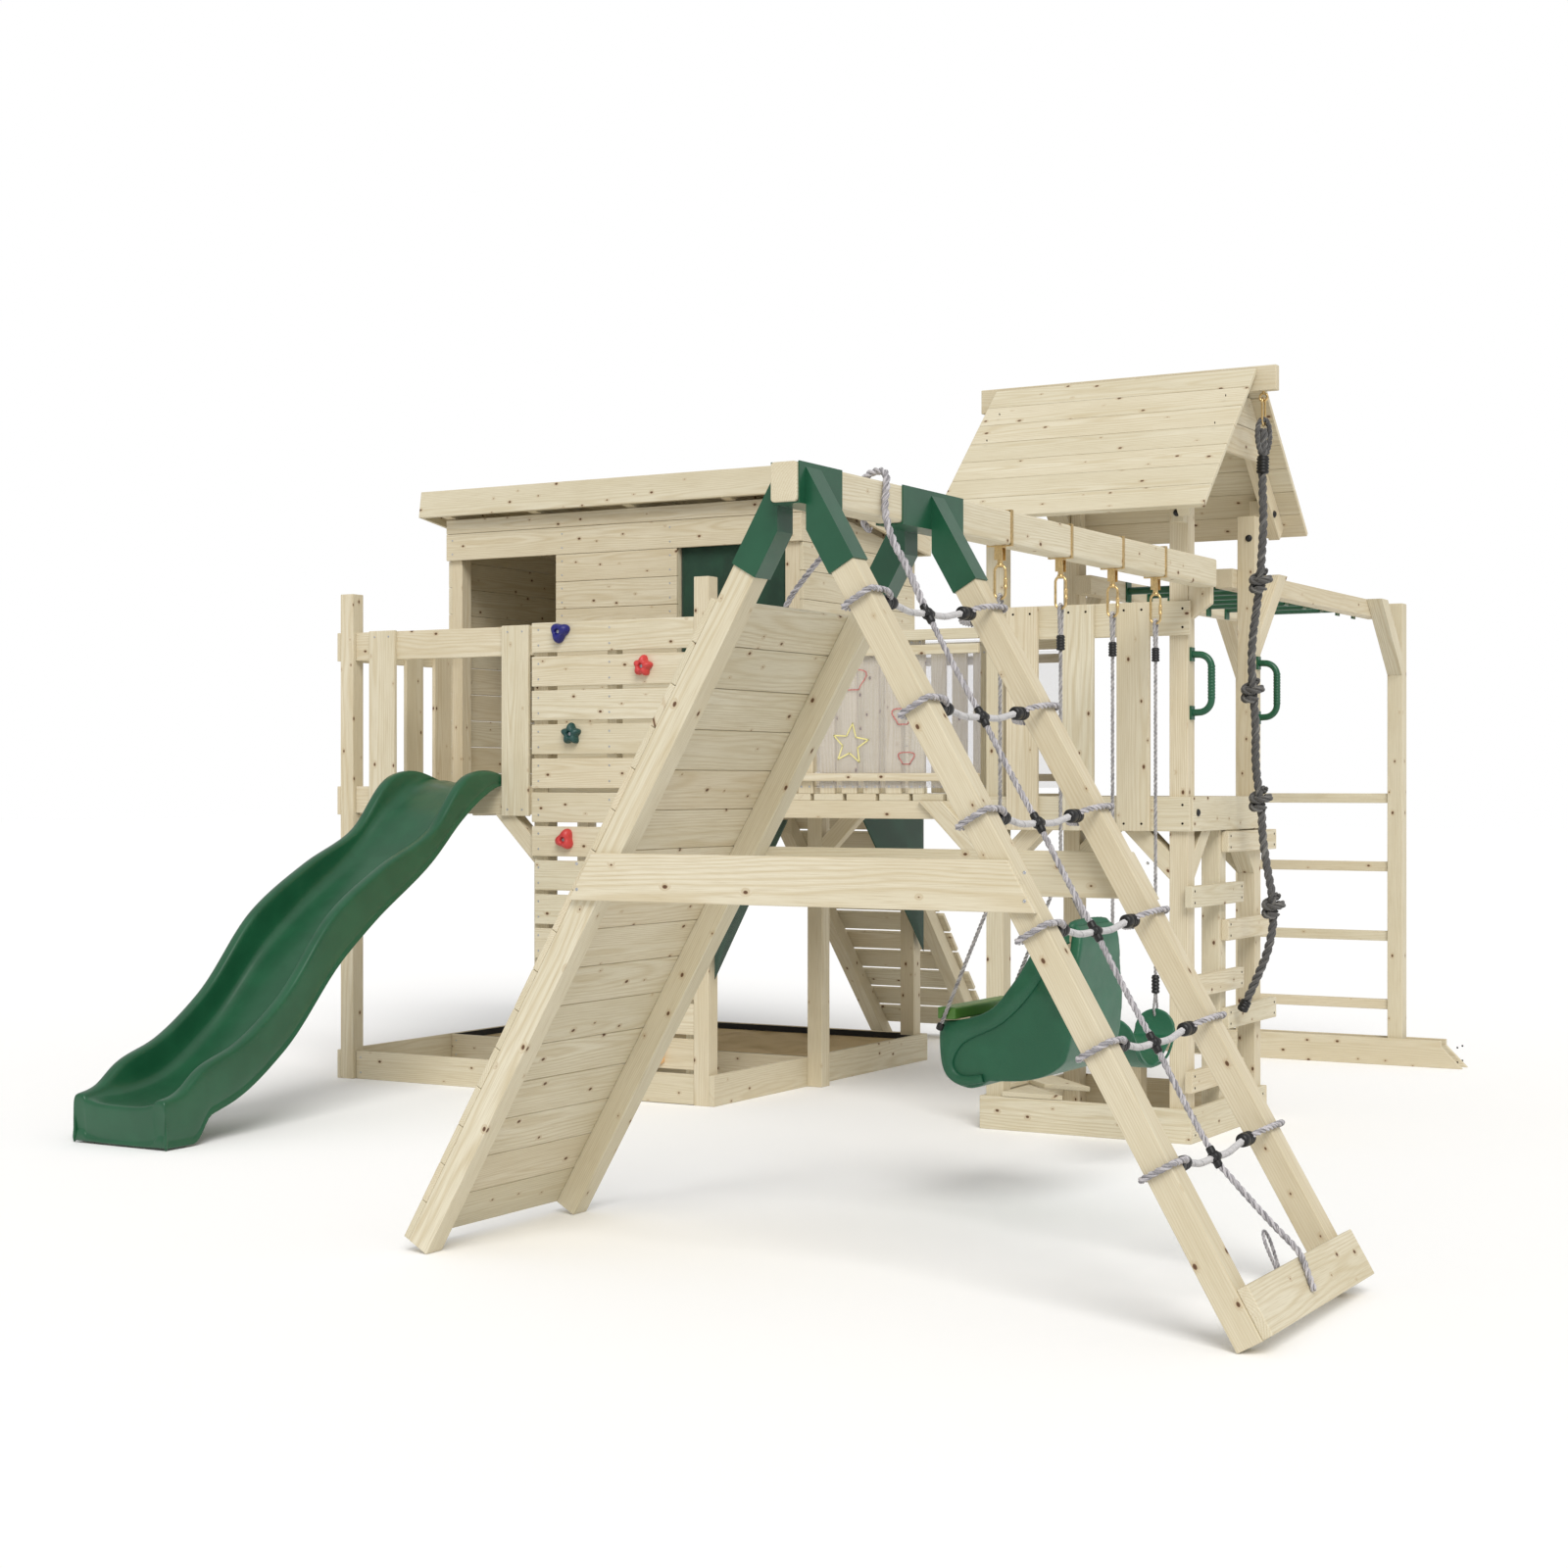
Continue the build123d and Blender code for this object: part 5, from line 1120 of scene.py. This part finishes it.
# ---------------------------------------------------------------- sandpit and panels
def sand_bed():
    """Raked, uneven sand that fills the pit."""
    low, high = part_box("sand")
    across, down = 90, 50
    points, faces = [], []
    for j in range(down + 1):
        for i in range(across + 1):
            x = low.x + (high.x - low.x) * i / across
            y = low.y + (high.y - low.y) * j / down
            edge = min(1, min(i, across - i, j, down - j) / 3)
            wave = 0.010 * sin(x * 7.1 + 2 * sin(y * 5)) * cos(y * 8.3) + 0.005 * sin(x * 23 + y * 17) - 0.006
            points.append((x, y, high.z - 0.004 + wave * edge))
    for j in range(down):
        for i in range(across):
            a = j * (across + 1) + i
            faces.append((a, a + 1, a + across + 2, a + across + 1))
    parts = Parts()
    parts.add(points, faces)
    piece = parts.piece("raked_sand", SAND, "root", "sand")
    skin = piece.modifiers.new("skin", "SOLIDIFY")
    skin.thickness = 0.06
    skin.offset = -1
    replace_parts(piece, "sand")


sand_bed()
PANEL_FACE = -39.5


def ribbon(parts, points, width, depth, closed=True):
    """A flat drawn line on the front of the art panel, through points in X and Z."""
    count = len(points)
    last = count if closed else count - 1
    for i in range(last):
        a, b = Vector((*points[i], 0)), Vector((*points[(i + 1) % count], 0))
        side = Vector((-(b - a).y, (b - a).x, 0)).normalized() * width / 2
        stretch = (b - a).normalized() * width * 0.3
        corners = [a - stretch - side, b + stretch - side, b + stretch + side, a - stretch + side]
        front = [Vector((c.x, PANEL_FACE - depth, c.y)) * MM for c in corners]
        back = [Vector((c.x, PANEL_FACE, c.y)) * MM for c in corners]
        parts.add(front + back, [(0, 1, 2, 3), (7, 6, 5, 4), (0, 4, 5, 1), (1, 5, 6, 2), (2, 6, 7, 3), (3, 7, 4, 0)])


def panel_drawings():
    """A plain five-pointed star and a few round scribbles on the bridge's clear panel."""
    star, chalk = Parts(), Parts()
    outline = []
    for n in range(10):
        reach = 78 if n % 2 == 0 else 34
        outline.append((-1295 + reach * sin(pi * n / 5 + 0.12), 1400 + reach * cos(pi * n / 5 + 0.12)))
    ribbon(star, outline, 4.5, 0.8)
    star.piece("panel_star", STAR_YELLOW, "root", "clear_acrylic", smooth=False)
    for x, z, size in ((-1285, 1640, 62), (-1075, 1500, 48), (-1060, 1345, 36)):
        loop = [(x + size * (0.8 + 0.25 * sin(3 * a)) * cos(a), z + size * (0.8 + 0.2 * cos(2 * a)) * sin(a))
                for a in [2 * pi * n / 26 for n in range(26)]]
        ribbon(chalk, loop, 3.5, 0.8)
    chalk.piece("panel_scribbles", CHALK_RED, "root", "clear_acrylic", smooth=False)


panel_drawings()


# ---------------------------------------------------------------- bolt caps and hand grips
def bolt_caps():
    """Domed plastic caps over the coach bolts."""
    dome = [(0, 13), (2.5, 13), (4, 12.4), (6.5, 10.2), (8.2, 6.4), (8.9, 2.4)]
    caps = Parts()
    for low, high in cap_boxes():
        size = high - low
        axis = min(range(3), key=lambda k: size[k])
        middle = (low + high) / 2 / MM
        start = middle.copy()
        way = Vector((0, 0, 0))
        way[axis] = 1 if axis == 0 else -1
        start[axis] -= way[axis] * size[axis] / 2 / MM
        lathe(caps, dome, start, start + way)
    piece = caps.piece("bolt_domes", BLACK, "root", "black_plastic")
    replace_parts(piece, "bolt_caps")


def cap_boxes():
    """The box of each bolt cap in CAD."""
    bm = bmesh.new()
    bm.from_mesh(NODES["bolt_caps"].data)
    bmesh.ops.remove_doubles(bm, verts=bm.verts, dist=0.00002)
    found = []
    for group in islands(bm):
        found.append((Vector([min(v.co[k] for v in group) for k in range(3)]),
                      Vector([max(v.co[k] for v in group) for k in range(3)])))
    bm.free()
    return found


bolt_caps()


def hand_grips():
    """Finger ribs on the two grab handles."""
    ribs = Parts()
    for y in (0.0, 704.0):
        for n in range(11):
            z = 1546 + n * 10.8
            lathe(ribs, [(0, 11.8), (1.5, 13.0), (4.5, 13.4), (7.5, 13.0), (9, 11.8)], (108, y, z), (108, y, z + 9))
    ribs.piece("grab_handle_ribs", GRIP_GREEN, "root", "green_grip")


hand_grips()

# ---------------------------------------------------------------- CAD nodes that show as they are
KEPT = {"green_steel": STEEL_GREEN, "green_grip": GRIP_GREEN, "gold_steel": GOLD, "clear_acrylic": ACRYLIC,
        "liner": LINER_BLACK}
for node_name, node in NODES.items():
    finish = KEPT.get(SLOT[node_name])
    if finish and not node.hide_render:
        for slot in node.material_slots:
            slot.material = finish
        if SLOT[node_name] in ("green_steel", "liner"):
            soften(node, 0.0012)


# ---------------------------------------------------------------- floor and light
SKY_LIGHT = 0.60               # the sky lights the object less than it shows behind it


def studio():
    """A plain pale floor, an even bright sky and one broad soft lamp."""
    ground = bpy.data.meshes.new("floor")
    reach = 60
    ground.from_pydata([(-reach, -reach, 0), (reach, -reach, 0), (reach, reach, 0), (-reach, reach, 0)], [],
                       [(0, 1, 2, 3)])
    finish, tree, shader = material("pale_floor")
    soft = noise(tree, place(tree), 0.6, 2.0)
    put(tree, shader.inputs["Base Color"], blend(tree, soft, rgb(253, 253, 253), rgb(255, 255, 255)))
    shader.inputs["Roughness"].default_value = 0.9
    shader.inputs["Specular IOR Level"].default_value = 0.1
    ground.materials.append(finish)
    floor = bpy.data.objects.new("floor", ground)
    bpy.context.scene.collection.objects.link(floor)
    world = bpy.data.worlds.new("sky")
    world.use_nodes = True
    sky = world.node_tree.nodes["Background"]
    sky.inputs["Color"].default_value = (1, 1, 1, 1)
    seen = world.node_tree.nodes.new("ShaderNodeLightPath").outputs["Is Camera Ray"]
    put(world.node_tree, sky.inputs["Strength"], spread(world.node_tree, seen, 0.0, 1.0, SKY_LIGHT, 1.0))
    bpy.context.scene.world = world
    lamp = bpy.data.lights.new("soft_sun", "SUN")
    lamp.energy = 2.1
    lamp.angle = radians(30)
    lamp.color = (1.0, 0.985, 0.96)
    sun = bpy.data.objects.new("soft_sun", lamp)
    sun.rotation_euler = (radians(48), 0, radians(38))
    bpy.context.scene.collection.objects.link(sun)
    bpy.context.scene.view_settings.view_transform = "Standard"


studio()
